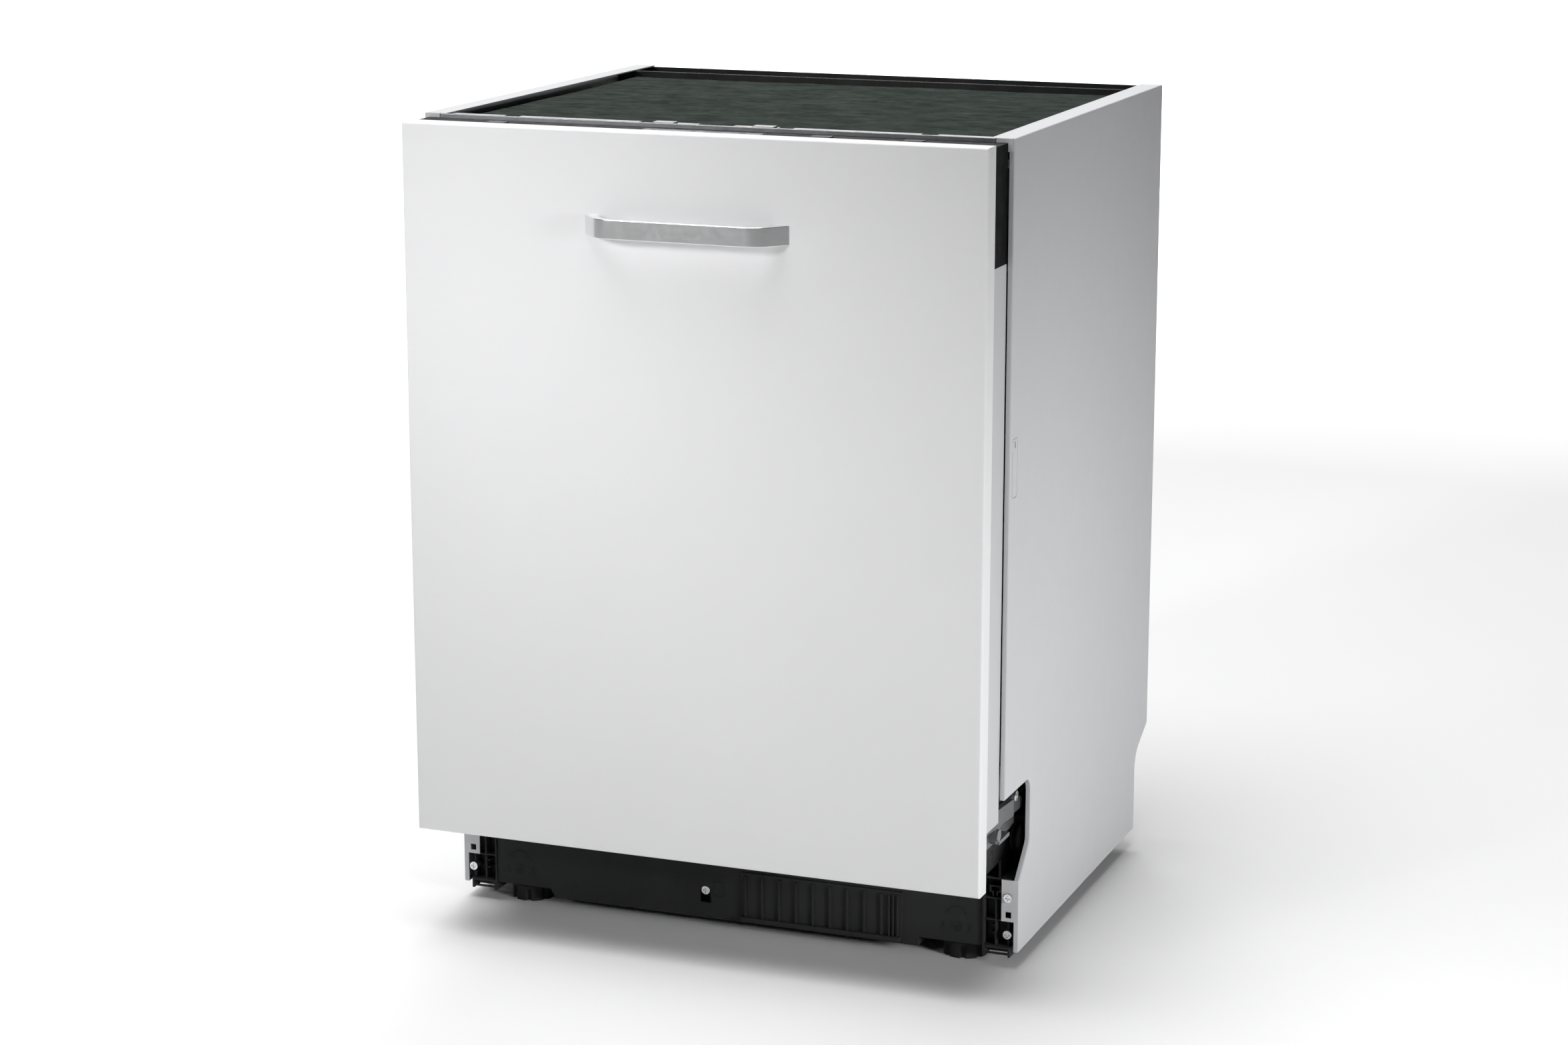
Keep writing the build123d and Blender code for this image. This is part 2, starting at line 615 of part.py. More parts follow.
def wire_basket(half, floor, rim, columns, rows):
    """Wire tray of five flat grids: its floor, the front and back walls, and the two sides."""
    depth = BASKET_BACK - BASKET_FRONT
    middle = y((BASKET_FRONT + BASKET_BACK) / 2)
    height = rim - floor
    column_pitch = (2 * half - WIRE) / (columns - 1)
    row_pitch = (depth - WIRE) / (rows - 1)
    inner_width = 2 * (half - WIRE - WELD)
    inner_depth = depth - 2 * (WIRE + WELD)
    with BuildSketch(Plane.XY.offset(floor)) as grid:
        with Locations((0, middle)):
            with GridLocations(column_pitch, 0, columns - 2, 1):
                Rectangle(WIRE, inner_depth)
            with GridLocations(0, row_pitch, 1, rows - 2):
                Rectangle(inner_width, WIRE)
    extrude(grid.sketch, amount=WIRE)
    for wall_depth in (BASKET_FRONT + WIRE, BASKET_BACK):
        with BuildSketch(facing(wall_depth)) as cross_wall:
            with Locations((0, floor + height / 2)):
                with GridLocations(column_pitch, 0, columns, 1):
                    Rectangle(WIRE, height)
                with GridLocations(0, (height - WIRE) / 2, 1, 3):
                    Rectangle(2 * half, WIRE)
        extrude(cross_wall.sketch, amount=WIRE)
    for x in (-half, half - WIRE):
        with BuildSketch(Plane.YZ.offset(x)) as side_wall:
            with Locations((middle, floor + height / 2)):
                with GridLocations(row_pitch, 0, rows - 2, 1):
                    Rectangle(WIRE, height)
                with GridLocations(0, (height - WIRE) / 2, 1, 3):
                    Rectangle(inner_depth, WIRE)
        extrude(side_wall.sketch, amount=WIRE)


UPPER_HALF = 240
UPPER_FLOOR = 520
UPPER_RIM = 645
LOWER_HALF = 236
LOWER_FLOOR = 205
LOWER_RIM = 340
WHEEL_R = 16
WHEEL_Z = SILL_TOP + WHEEL_R + 0.8
WHEEL_DEPTHS = (100, 400)
ROLLER_R = 10
ROLLER_DEPTH = 435

with BuildPart() as upper_basket:
    wire_basket(UPPER_HALF, UPPER_FLOOR, UPPER_RIM, 9, 8)
    for side in (-1, 1):
        block(sorted((side * (UPPER_HALF - 1), side * 243)), (60, 445), (552, 570))
        bar_x(sorted((side * 242, side * 264)), ROLLER_DEPTH, ROLLER_Z, 3)
        block(sorted((side * 240, side * 243)), (60, 445), (UPPER_FLOOR, 553))
    block((-9, 9), (HUB_DEPTH, BASKET_BACK + 3), (502, 512))
    for depth in (340, 430):
        block((-5, 5), (depth, depth + 6), (510, UPPER_FLOOR + 1))
    post(0, HUB_DEPTH, (500, 521), 15)
    post(0, HUB_DEPTH, (UP_ARM_Z - 4, 502), ARM_HOLE)
    post(0, HUB_DEPTH, (UP_ARM_Z - 5, UP_ARM_Z - 1), 12)
save(upper_basket.part, "upper_basket")

with BuildPart() as basket_rollers:
    for side in (-1, 1):
        bar_x(sorted((side * 256, side * 263)), ROLLER_DEPTH, ROLLER_Z, ROLLER_R)
        bar_x(sorted((side * 255, side * 264)), ROLLER_DEPTH, ROLLER_Z, 3 + PIN_CLEAR, Mode.SUBTRACT)
save(basket_rollers.part, "basket_rollers")

SHELF_HINGE_X = 231
SHELF_HINGE_Z = 590
SHELF_IN = 145
for side, name in ((-1, "left_cup_shelf"), (1, "right_cup_shelf")):
    with BuildPart() as cup_shelf:
        with BuildSketch(Plane.XY.offset(SHELF_HINGE_Z - 1.5)):
            with Locations((side * (SHELF_HINGE_X + SHELF_IN) / 2, y(250))):
                with GridLocations(0, 48, 1, 8):
                    Rectangle(SHELF_HINGE_X - SHELF_IN, 3)
                with GridLocations(20.75, 0, 5, 1):
                    Rectangle(3, 339)
        extrude(amount=3)
        bar_y(side * SHELF_HINGE_X, (80, 420), SHELF_HINGE_Z, 2)
    save(cup_shelf.part, name)

with BuildPart() as lower_basket:
    wire_basket(LOWER_HALF, LOWER_FLOOR, LOWER_RIM, 9, 8)
    for side in (-1, 1):
        for depth in WHEEL_DEPTHS:
            mount = sorted((side * (LOWER_HALF - 3), side * (LOWER_HALF + 1)))
            block(mount, (depth - 9, depth + 9), (WHEEL_Z - 10, 224))
            bar_x(sorted((side * LOWER_HALF, side * 258)), depth, WHEEL_Z, 4)
    for depth in (104, 394):
        comb_foot = LOWER_FLOOR + WIRE + WELD
        block((-215, 92), (depth, depth + 3), (comb_foot, comb_foot + 3))
        for i in range(9):
            x = -215 + 38 * i
            block((x, x + 3), (depth, depth + 3), (comb_foot, 268))
save(lower_basket.part, "lower_basket")

for depth, name in zip(WHEEL_DEPTHS, ("front_basket_wheels", "rear_basket_wheels")):
    with BuildPart() as basket_wheels:
        for side in (-1, 1):
            bar_x(sorted((side * 247.5, side * 257)), depth, WHEEL_Z, WHEEL_R)
        fillet(basket_wheels.edges().filter_by(GeomType.CIRCLE), 1.5)
        for side in (-1, 1):
            bar_x(sorted((side * 247, side * 258)), depth, WHEEL_Z, 4 + PIN_CLEAR, Mode.SUBTRACT)
            for i in range(5):
                angle = radians(72 * i)
                pocket = sorted((side * 254, side * 258))
                bar_x(pocket, depth + 9.5 * cos(angle), WHEEL_Z + 9.5 * sin(angle), 3, Mode.SUBTRACT)
    save(basket_wheels.part, name)

TINE_DEPTH = 250
TINE_Z = 214
with BuildPart() as folding_tines:
    bar_x((-222, 96), TINE_DEPTH, TINE_Z, 2)
    for i in range(9):
        x = -213 + 38 * i
        block((x, x + 3), (TINE_DEPTH - 1.5, TINE_DEPTH + 1.5), (TINE_Z, 285))
save(folding_tines.part, "folding_tines")

CUTLERY_X = (118, 222)
CUTLERY_DEPTH = (62, 312)
CUTLERY_Z = (LOWER_FLOOR + WIRE, 330)
with BuildPart() as cutlery_basket:
    block(CUTLERY_X, CUTLERY_DEPTH, CUTLERY_Z)
    fillet(cutlery_basket.edges().filter_by(Axis.Z), 8)
    block(
        (CUTLERY_X[0] + 2.5, CUTLERY_X[1] - 2.5),
        (CUTLERY_DEPTH[0] + 2.5, CUTLERY_DEPTH[1] - 2.5),
        (CUTLERY_Z[0] + 2.5, CUTLERY_Z[1] + 1),
        Mode.SUBTRACT,
    )
    for depth in (145, 228):
        block(CUTLERY_X, (depth, depth + 2), (CUTLERY_Z[0] + 1, 300))
    for i in range(10):
        depth = 74 + 24 * i
        block((CUTLERY_X[0] - 1, CUTLERY_X[1] + 1), (depth, depth + 14), (222, 228), Mode.SUBTRACT)
        block((CUTLERY_X[0] - 1, CUTLERY_X[1] + 1), (depth, depth + 14), (262, 268), Mode.SUBTRACT)
save(cutlery_basket.part, "cutlery_basket")

# --- door ----------------------------------------------------------------------------------

LINER_HALF = 291.5
LINER_T = 1.5
BULGE_HALF = 256
BULGE_Z = (190, 776)
BULGE_BACK = 10
DISPENSER_HALF = 88
DISPENSER_Z = (470, 600)
HALF_DOOR = DOOR_W / 2

with BuildPart() as inner_liner:
    block((-LINER_HALF, LINER_HALF), (DOOR_BACK - LINER_T, DOOR_BACK), (DOOR_BOTTOM + 1.4, 808.3))
    block((-BULGE_HALF, BULGE_HALF), (DOOR_BACK - 0.5, BULGE_BACK), BULGE_Z)
    fillet(inner_liner.edges().group_by(Axis.Y)[-1], 4)
    block(
        (LINER_T - BULGE_HALF, BULGE_HALF - LINER_T),
        (DOOR_BACK - 3, BULGE_BACK - LINER_T),
        (BULGE_Z[0] + LINER_T, BULGE_Z[1] - LINER_T),
        Mode.SUBTRACT,
    )
    block((-DISPENSER_HALF, DISPENSER_HALF), (0, BULGE_BACK + 1), DISPENSER_Z, Mode.SUBTRACT)
    for side in (-1, 1):
        block(sorted((side * 281, side * 295)), (-5, 0), (160, 188), Mode.SUBTRACT)
    block((-10, 10), (-5, 0), (793, 805), Mode.SUBTRACT)
save(inner_liner.part, "inner_liner")

with BuildPart() as door_bottom_seal:
    block((-258, 258), (DOOR_BACK, 5), (174, 178))
    fillet(door_bottom_seal.edges().group_by(Axis.Y)[-1].filter_by(Axis.X), 1.5)
save(door_bottom_seal.part, "door_bottom_seal")

SHELL_T = 1.2
with BuildPart() as door_shell:
    block((-HALF_DOOR, HALF_DOOR), (DOOR_FRONT, DOOR_BACK), (DOOR_BOTTOM, CONSOLE_BOTTOM))
    block(
        (SHELL_T - HALF_DOOR, HALF_DOOR - SHELL_T),
        (DOOR_FRONT + SHELL_T, DOOR_BACK + 1),
        (DOOR_BOTTOM + SHELL_T, CONSOLE_BOTTOM + 1),
        Mode.SUBTRACT,
    )
    for side in (-1, 1):
        arm_slot = sorted((side * 283, side * 291))
        block(arm_slot, (-38, DOOR_BACK + 1), (DOOR_BOTTOM - 1, DOOR_BOTTOM + 2), Mode.SUBTRACT)
save(door_shell.part, "door_shell")

CONSOLE_T = 2.5
BUTTON_DEPTH = -22
BUTTON_X = (-210, 120, 210)
BUTTON_SIZE = (20, 11)
DISPLAY_X = (-60, 60)
with BuildPart() as console_housing:
    block((-HALF_DOOR, HALF_DOOR), (DOOR_FRONT, DOOR_BACK), (CONSOLE_BOTTOM, DOOR_TOP))
    block(
        (CONSOLE_T - HALF_DOOR, HALF_DOOR - CONSOLE_T),
        (DOOR_FRONT + CONSOLE_T, DOOR_BACK + 1),
        (CONSOLE_BOTTOM - 1, DOOR_TOP - CONSOLE_T),
        Mode.SUBTRACT,
    )
    seat_half = LINER_HALF + 0.2
    block((-seat_half, seat_half), (DOOR_BACK - LINER_T, 0), (CONSOLE_BOTTOM - 1, 808.4), Mode.SUBTRACT)
    with BuildSketch(Plane.XY.offset(DOOR_TOP + 1)):
        for x in BUTTON_X:
            with Locations((x, y(BUTTON_DEPTH))):
                RectangleRounded(BUTTON_SIZE[0] + 0.7, BUTTON_SIZE[1] + 0.7, 2.35)
        with Locations((0, y(BUTTON_DEPTH))):
            RectangleRounded(DISPLAY_X[1] - DISPLAY_X[0], 16, 2)
    extrude(amount=-6, mode=Mode.SUBTRACT)
save(console_housing.part, "console_housing")

button_names = ["power_button", "program_button", "start_button"]
for x, name in zip(BUTTON_X, button_names):
    with BuildPart() as button:
        with BuildSketch(Plane.XY.offset(804)):
            with Locations((x, y(BUTTON_DEPTH))):
                RectangleRounded(BUTTON_SIZE[0], BUTTON_SIZE[1], 2)
        extrude(amount=8.2)
        fillet(button.edges().group_by(Axis.Z)[-1], 0.5)
    save(button.part, name)

with BuildPart() as display_lens:
    with BuildSketch(Plane.XY.offset(DOOR_TOP - CONSOLE_T)):
        with Locations((0, y(BUTTON_DEPTH))):
            RectangleRounded(DISPLAY_X[1] - DISPLAY_X[0], 16, 2)
    extrude(amount=CONSOLE_T)
save(display_lens.part, "display_lens")

with BuildPart() as furniture_panel:
    block((-PANEL_W / 2, PANEL_W / 2), (PANEL_FRONT, DOOR_FRONT), (PANEL_BOTTOM, PANEL_TOP))
    fillet(furniture_panel.edges().group_by(Axis.Y)[0], 2)
    for side in (-1, 1):
        x = side * HANDLE_SCREWS / 2
        z = HANDLE_BOTTOM + HANDLE_H / 2
        bar_y(x, (PANEL_FRONT - 1, DOOR_FRONT + 1), z, 2.25, Mode.SUBTRACT)
        bar_y(x, (DOOR_FRONT - 3.5, DOOR_FRONT + 1), z, 5, Mode.SUBTRACT)
save(furniture_panel.part, "furniture_panel")

HANDLE_BAR = 5
HANDLE_FOOT = 13
HANDLE_SLANT = 21.3
OUTER_BEND = 26
INNER_BEND = 18
HANDLE_SOFT = 0.7
SCREW_IN = 5
half_w = HANDLE_W / 2
bar_front = y(HANDLE_FRONT)
bar_back = bar_front + HANDLE_BAR
foot_y = y(PANEL_FRONT)
inner_half = half_w - HANDLE_FOOT - HANDLE_SLANT * (1 - HANDLE_BAR / HANDLE_OUT)
with BuildPart() as handle:
    with BuildSketch(Plane.XY.offset(HANDLE_BOTTOM)) as bow:
        with BuildLine():
            Polyline(
                (-half_w, foot_y),
                (HANDLE_SLANT - half_w, bar_front),
                (half_w - HANDLE_SLANT, bar_front),
                (half_w, foot_y),
                (half_w - HANDLE_FOOT, foot_y),
                (inner_half, bar_back),
                (-inner_half, bar_back),
                (HANDLE_FOOT - half_w, foot_y),
                close=True,
            )
        make_face()
        fillet(bow.vertices().group_by(Axis.Y)[0], OUTER_BEND)
        fillet(bow.vertices().filter_by(lambda v: abs(v.Y - bar_back) < 0.01), INNER_BEND)
    extrude(amount=HANDLE_H)
    long_edges = handle.edges().group_by(Axis.Z)[0] + handle.edges().group_by(Axis.Z)[-1]
    fillet(long_edges.filter_by(lambda e: e.center().Y < foot_y - 0.01), HANDLE_SOFT)
    for side in (-1, 1):
        x = side * HANDLE_SCREWS / 2
        bar_y(x, (PANEL_FRONT - SCREW_IN, PANEL_FRONT + 1), HANDLE_BOTTOM + HANDLE_H / 2, 2, Mode.SUBTRACT)
save(handle.part, "handle")

with BuildPart() as handle_screws:
    for side in (-1, 1):
        x = side * HANDLE_SCREWS / 2
        z = HANDLE_BOTTOM + HANDLE_H / 2
        bar_y(x, (PANEL_FRONT - SCREW_IN + 0.5, DOOR_FRONT - 3), z, 2)
        bar_y(x, (DOOR_FRONT - 3.5, DOOR_FRONT - 0.5), z, 4.2)
save(handle_screws.part, "handle_screws")

with BuildPart() as door_latch:
    block((-8, 8), (-26, 12), (796, 801))
    block((-8, 8), (8, 12), (801, 802.5))
    fillet(door_latch.edges().filter_by(Axis.Z).group_by(Axis.Y)[-1], 3)
save(door_latch.part, "door_latch")

LID_X = (-77, 5)
LID_Z = (487, 557)
with BuildPart() as dispenser_body:
    block((-DISPENSER_HALF, DISPENSER_HALF), (-24, BULGE_BACK), DISPENSER_Z)
    fillet(dispenser_body.edges().group_by(Axis.Y)[-1].filter_by(Axis.Z), 2)
    cup_z = (LID_Z[0] + 5, LID_Z[1] - 5)
    block((LID_X[0] + 6, LID_X[1] - 6), (-12, BULGE_BACK + 1), cup_z, Mode.SUBTRACT)
    for x in (LID_X[0] - 3.4, LID_X[1] + 0.4):
        block((x, x + 3), (BULGE_BACK - 1, BULGE_BACK + 3.4), (LID_Z[0] - 4, DISPENSER_Z[1]))
    bar_y(50, (BULGE_BACK - 6, BULGE_BACK + 1), 535, 22, Mode.SUBTRACT)
save(dispenser_body.part, "dispenser_body")

with BuildPart() as dispenser_lid:
    block(LID_X, (BULGE_BACK + 0.3, BULGE_BACK + 3), LID_Z)
    fillet(dispenser_lid.edges().filter_by(Axis.Y), 4)
    catch_z = (LID_Z[0] + 6, LID_Z[0] + 10)
    block((LID_X[0] + 25, LID_X[1] - 25), (BULGE_BACK + 2.5, BULGE_BACK + 5.5), catch_z)
save(dispenser_lid.part, "dispenser_lid")

with BuildPart() as rinse_aid_cap:
    bar_y(50, (BULGE_BACK - 5.9, BULGE_BACK - 2), 535, 21.5)
    block((32, 68), (BULGE_BACK - 3, BULGE_BACK + 2), (532.5, 537.5))
save(rinse_aid_cap.part, "rinse_aid_cap")

# --- hinges ----------------------------------------------------------------------------------

PIN_R = 4
ARM_X = (284, 290)
ARM_STEP_X = (282, 287)
BRACKET_X = (277.5, 280)
PULLEY_DEPTH = 85
PULLEY_Z = 123.4
PULLEY_R = 13
ROLLER_PIN = (67, 171.5)

with BuildPart() as hinge_arm:
    with BuildSketch(Plane.YZ.offset(ARM_X[0])):
        with BuildLine():
            Polyline(
                (y(-36), 160),
                (y(-36), 176),
                (y(-3), 175.2),
                (y(56), 171),
                (y(56), 154),
                (y(13), 157.4),
                (y(-3), 158),
                close=True,
            )
        make_face()
        with Locations((y(HINGE_DEPTH), HINGE_HEIGHT)):
            Circle(8)
        with Locations((y(HINGE_DEPTH), HINGE_HEIGHT + 6)):
            Rectangle(16, 12)
    extrude(amount=ARM_X[1] - ARM_X[0])
    with BuildSketch(Plane.YZ.offset(ARM_STEP_X[0])):
        with BuildLine():
            Polyline(
                (y(52), 154.3),
                (y(52), 168.5),
                (y(60), 174),
                (y(74), 174),
                (y(78), 165.8),
                (y(92), 164.8),
                (y(92), 152.5),
                close=True,
            )
        make_face()
    extrude(amount=ARM_STEP_X[1] - ARM_STEP_X[0])
    bar_x((ARM_X[0] - 1, ARM_X[1] + 1), HINGE_DEPTH, HINGE_HEIGHT, PIN_R + PIN_CLEAR, Mode.SUBTRACT)
    bar_x((ARM_STEP_X[1] - 1, ARM_X[1] - 0.4), ROLLER_PIN[0], ROLLER_PIN[1], 5)

with BuildPart() as hinge_arms:
    add(hinge_arm.part)
    mirror(hinge_arm.part, about=Plane.YZ)
save(hinge_arms.part, "hinge_arms")

with BuildPart() as hinge_bracket:
    with BuildSketch(Plane.YZ.offset(BRACKET_X[0])):
        with BuildLine():
            Polyline(
                (y(0), 110),
                (y(50.5), 110),
                (y(50.5), 91),
                (y(91), 91),
                (y(91), 205),
                (y(0), 205),
                close=True,
            )
        make_face()
    extrude(amount=BRACKET_X[1] - BRACKET_X[0])
    block((BRACKET_X[0], 288), (18, 50), (136, 139.8))
    bar_x((BRACKET_X[1] - 0.5, 290), PULLEY_DEPTH, PULLEY_Z, 3)
    bar_x((BRACKET_X[1] - 0.5, 291), HINGE_DEPTH, HINGE_HEIGHT, PIN_R)
    bar_x((290.4, 292), HINGE_DEPTH, HINGE_HEIGHT, 6)

with BuildPart() as hinge_brackets:
    add(hinge_bracket.part)
    mirror(hinge_bracket.part, about=Plane.YZ)
save(hinge_brackets.part, "hinge_brackets")

with BuildPart() as pulley:
    for xs in ((281, 283), (287, 289)):
        bar_x(xs, PULLEY_DEPTH, PULLEY_Z, PULLEY_R)
    bar_x((282, 288), PULLEY_DEPTH, PULLEY_Z, PULLEY_R - 2.5)
    bar_x((280, 290), PULLEY_DEPTH, PULLEY_Z, 3 + PIN_CLEAR, Mode.SUBTRACT)
    for i in range(3):
        angle = radians(120 * i + 30)
        bar_x((280, 290), PULLEY_DEPTH + 6.5 * cos(angle), PULLEY_Z + 6.5 * sin(angle), 1.8, Mode.SUBTRACT)

with BuildPart() as balance_pulleys:
    add(pulley.part)
    mirror(pulley.part, about=Plane.YZ)
save(balance_pulleys.part, "balance_pulleys")

with BuildPart() as balance_springs:
    for side in (-1, 1):
        bar_y(side * 282, (125, 330), 110, 8)
        bar_y(side * 282, (TRAY_STEP + TRAY_WALL, 126), 110, 2)
        bar_y(side * 282, (329, BASE_BACK - TRAY_WALL), 110, 2)
save(balance_springs.part, "balance_springs")
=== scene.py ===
import json
from math import cos, pi, radians, sin, tan

import bmesh
import bpy
from mathutils import Matrix, Vector, noise


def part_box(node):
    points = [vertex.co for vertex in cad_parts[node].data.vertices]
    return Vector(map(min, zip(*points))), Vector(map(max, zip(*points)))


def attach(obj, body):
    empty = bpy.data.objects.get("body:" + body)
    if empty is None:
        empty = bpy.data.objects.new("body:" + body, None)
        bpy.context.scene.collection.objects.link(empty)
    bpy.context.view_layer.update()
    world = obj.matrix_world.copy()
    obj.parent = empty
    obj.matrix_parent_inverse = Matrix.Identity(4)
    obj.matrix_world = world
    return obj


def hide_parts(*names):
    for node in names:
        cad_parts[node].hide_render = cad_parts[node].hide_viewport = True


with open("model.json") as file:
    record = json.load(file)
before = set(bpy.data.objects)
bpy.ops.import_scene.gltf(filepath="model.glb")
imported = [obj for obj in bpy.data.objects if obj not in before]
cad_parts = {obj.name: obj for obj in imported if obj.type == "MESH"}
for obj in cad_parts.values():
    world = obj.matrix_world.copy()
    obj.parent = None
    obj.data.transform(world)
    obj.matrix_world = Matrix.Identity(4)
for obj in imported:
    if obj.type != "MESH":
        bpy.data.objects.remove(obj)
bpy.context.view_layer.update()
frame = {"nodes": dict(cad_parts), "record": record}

nodes = frame["nodes"]

MM = 0.001
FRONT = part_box("hinge_brackets")[0].y  # the cabinet's front plane


def at(x, depth, z):
    """Point given in millimetres: across, behind the cabinet front plane, above the floor."""
    return Vector((x * MM, FRONT + depth * MM, z * MM))


# --- shader helpers ------------------------------------------------------------------

EDGE = 0.00045  # radius that rounds the look of every sharp edge


class Shader:
    """A Principled material whose colour, roughness and relief come from object-space noise."""

    def __init__(self, name, rough, metallic=0.0, **sockets):
        self.material = bpy.data.materials.new(name)
        self.material.use_nodes = True
        self.tree = self.material.node_tree
        self.bsdf = self.tree.nodes["Principled BSDF"]
        self.bsdf.inputs["Roughness"].default_value = rough
        self.bsdf.inputs["Metallic"].default_value = metallic
        for socket, value in sockets.items():
            self.bsdf.inputs[socket.replace("_", " ")].default_value = value
        self.coords = self.tree.nodes.new("ShaderNodeTexCoord").outputs["Object"]
        bevel = self.tree.nodes.new("ShaderNodeBevel")
        bevel.samples = 3
        bevel.inputs["Radius"].default_value = EDGE
        self.normal = bevel.outputs["Normal"]
        self.tree.links.new(self.normal, self.bsdf.inputs["Normal"])

    def link(self, source, target):
        self.tree.links.new(source, target)

    def noise(self, scale, stretch=(1, 1, 1), detail=2.0, rough=0.5, turn=0.0):
        """Noise with `scale` features a metre, squeezed along an axis by `stretch`."""
        mapping = self.tree.nodes.new("ShaderNodeMapping")
        mapping.inputs["Scale"].default_value = stretch
        mapping.inputs["Rotation"].default_value = (0, 0, turn)
        texture = self.tree.nodes.new("ShaderNodeTexNoise")
        texture.inputs["Scale"].default_value = scale
        texture.inputs["Detail"].default_value = detail
        texture.inputs["Roughness"].default_value = rough
        self.link(self.coords, mapping.inputs["Vector"])
        self.link(mapping.outputs["Vector"], texture.inputs["Vector"])
        return texture.outputs["Fac"]

    def cells(self, scale):
        """Distance to the middle of Voronoi cells, `scale` of them a metre."""
        texture = self.tree.nodes.new("ShaderNodeTexVoronoi")
        texture.inputs["Scale"].default_value = scale
        self.link(self.coords, texture.inputs["Vector"])
        return texture.outputs["Distance"]

    def maths(self, operation, first, second, third=None):
        """Math node over sockets or numbers."""
        node = self.tree.nodes.new("ShaderNodeMath")
        node.operation = operation
        for socket, value in zip(node.inputs, (first, second, third)):
            if isinstance(value, (int, float)):
                socket.default_value = value
            elif value is not None:
                self.link(value, socket)
        return node.outputs[0]

    def spread(self, value, low, high, start=0.3, end=0.7):
        """A number from low to high as value goes from start to end."""
        node = self.tree.nodes.new("ShaderNodeMapRange")
        for socket, number in (("From Min", start), ("From Max", end), ("To Min", low), ("To Max", high)):
            node.inputs[socket].default_value = number
        self.link(value, node.inputs["Value"])
        return node.outputs["Result"]

    def colour(self, value, low, high, start=0.3, end=0.7):
        """Base colour going from low to high with value."""
        ramp = self.tree.nodes.new("ShaderNodeValToRGB")
        for stop, place, shade in zip(ramp.color_ramp.elements, (start, end), (low, high)):
            stop.position = place
            stop.color = (*shade, 1)
        self.link(value, ramp.inputs["Fac"])
        self.link(ramp.outputs["Color"], self.bsdf.inputs["Base Color"])

    def gloss(self, value, low, high, start=0.3, end=0.7):
        self.link(self.spread(value, low, high, start, end), self.bsdf.inputs["Roughness"])

    def relief(self, value, depth, strength=1.0):
        """Bump of `depth` metres on top of what is there."""
        bump = self.tree.nodes.new("ShaderNodeBump")
        bump.inputs["Distance"].default_value = depth
        bump.inputs["Strength"].default_value = strength
        self.link(value, bump.inputs["Height"])
        self.link(self.normal, bump.inputs["Normal"])
        self.normal = bump.outputs["Normal"]
        self.link(self.normal, self.bsdf.inputs["Normal"])


def shade(colour, factor):
    return tuple(min(1.0, channel * factor) for channel in colour)


def painted(name, colour, rough, peel=0.00003, coat=0.0):
    """Sprayed coat: faint clouds of colour and an orange-peel skin."""
    paint = Shader(name, rough, Coat_Weight=coat, Coat_Roughness=0.25)
    cloud = paint.noise(3.0)
    paint.colour(cloud, shade(colour, 0.985), shade(colour, 1.01))
    paint.gloss(paint.noise(40.0, detail=3.0), rough - 0.03, rough + 0.03)
    paint.relief(paint.noise(420.0, detail=1.0), peel)
    return paint.material


def moulded(name, colour, rough, grain=0.00005, scale=1500.0, shine=0.4):
    """Injection-moulded plastic with a fine eroded grain and faint flow marks."""
    plastic = Shader(name, rough, Specular_IOR_Level=shine)
    flow = plastic.noise(14.0, stretch=(1, 1, 0.3), detail=3.0)
    plastic.colour(flow, shade(colour, 0.9), shade(colour, 1.1))
    plastic.gloss(plastic.noise(90.0), rough - 0.05, rough + 0.06)
    plastic.relief(plastic.noise(scale, detail=3.0, rough=0.7), grain)
    return plastic.material


def brushed(name, colour, rough, stretch):
    """Brushed metal whose lines run across the stretched axis."""
    metal = Shader(name, rough, metallic=1.0)
    lines = metal.noise(26.0, stretch=stretch, detail=4.0, rough=0.6)
    metal.colour(lines, shade(colour, 0.93), shade(colour, 1.05))
    metal.gloss(lines, rough - 0.06, rough + 0.08)
    metal.relief(lines, 0.00002)
    return metal.material


def satin_metal(name, colour, rough):
    """Fine-blasted metal: smooth, with a barely visible grain and soft clouds."""
    metal = Shader(name, rough, metallic=1.0)
    metal.colour(metal.noise(30.0), shade(colour, 0.985), shade(colour, 1.01))
    metal.gloss(metal.noise(220.0, detail=3.0), rough - 0.02, rough + 0.03)
    metal.relief(metal.noise(1600.0, detail=2.0), 0.000004)
    return metal.material


def galvanised(name, colour, rough):
    """Zinc-plated sheet with a soft spangle."""
    metal = Shader(name, rough, metallic=0.9)
    metal.colour(metal.cells(160.0), shade(colour, 0.92), shade(colour, 1.04), 0.0, 0.9)
    metal.gloss(metal.noise(120.0, detail=4.0), rough - 0.06, rough + 0.1)
    metal.relief(metal.noise(700.0, detail=2.0), 0.00002)
    return metal.material


def turned_zinc(name):
    """Bright screw steel with turning marks and a few dull spots."""
    metal = Shader(name, 0.22, metallic=1.0)
    metal.colour(metal.noise(300.0, detail=4.0), (0.62, 0.63, 0.65), (0.86, 0.86, 0.87))
    metal.gloss(metal.noise(700.0, detail=3.0), 0.16, 0.34)
    metal.relief(metal.noise(1800.0), 0.00002)
    return metal.material


def felt(name):
    """Pressed fibre mat: dark ground, mottled patches and pale hairs lying both ways."""
    mat = Shader(name, 0.96, Specular_IOR_Level=0.05)
    patches = mat.noise(60.0, stretch=(0.55, 1, 1), detail=6.0, rough=0.72)
    hairs = [
        mat.spread(mat.noise(300.0, stretch=(0.22, 1, 1), detail=3.0, turn=turn), 0.0, 1.0, 0.6, 0.74)
        for turn in (0.35, -0.5)
    ]
    fibres = mat.maths("MULTIPLY_ADD", mat.maths("MAXIMUM", *hairs), 0.16, patches)
    mat.colour(fibres, (0.013, 0.018, 0.015), (0.052, 0.065, 0.057), 0.34, 0.74)
    mat.relief(fibres, 0.0012, 0.8)
    return mat.material


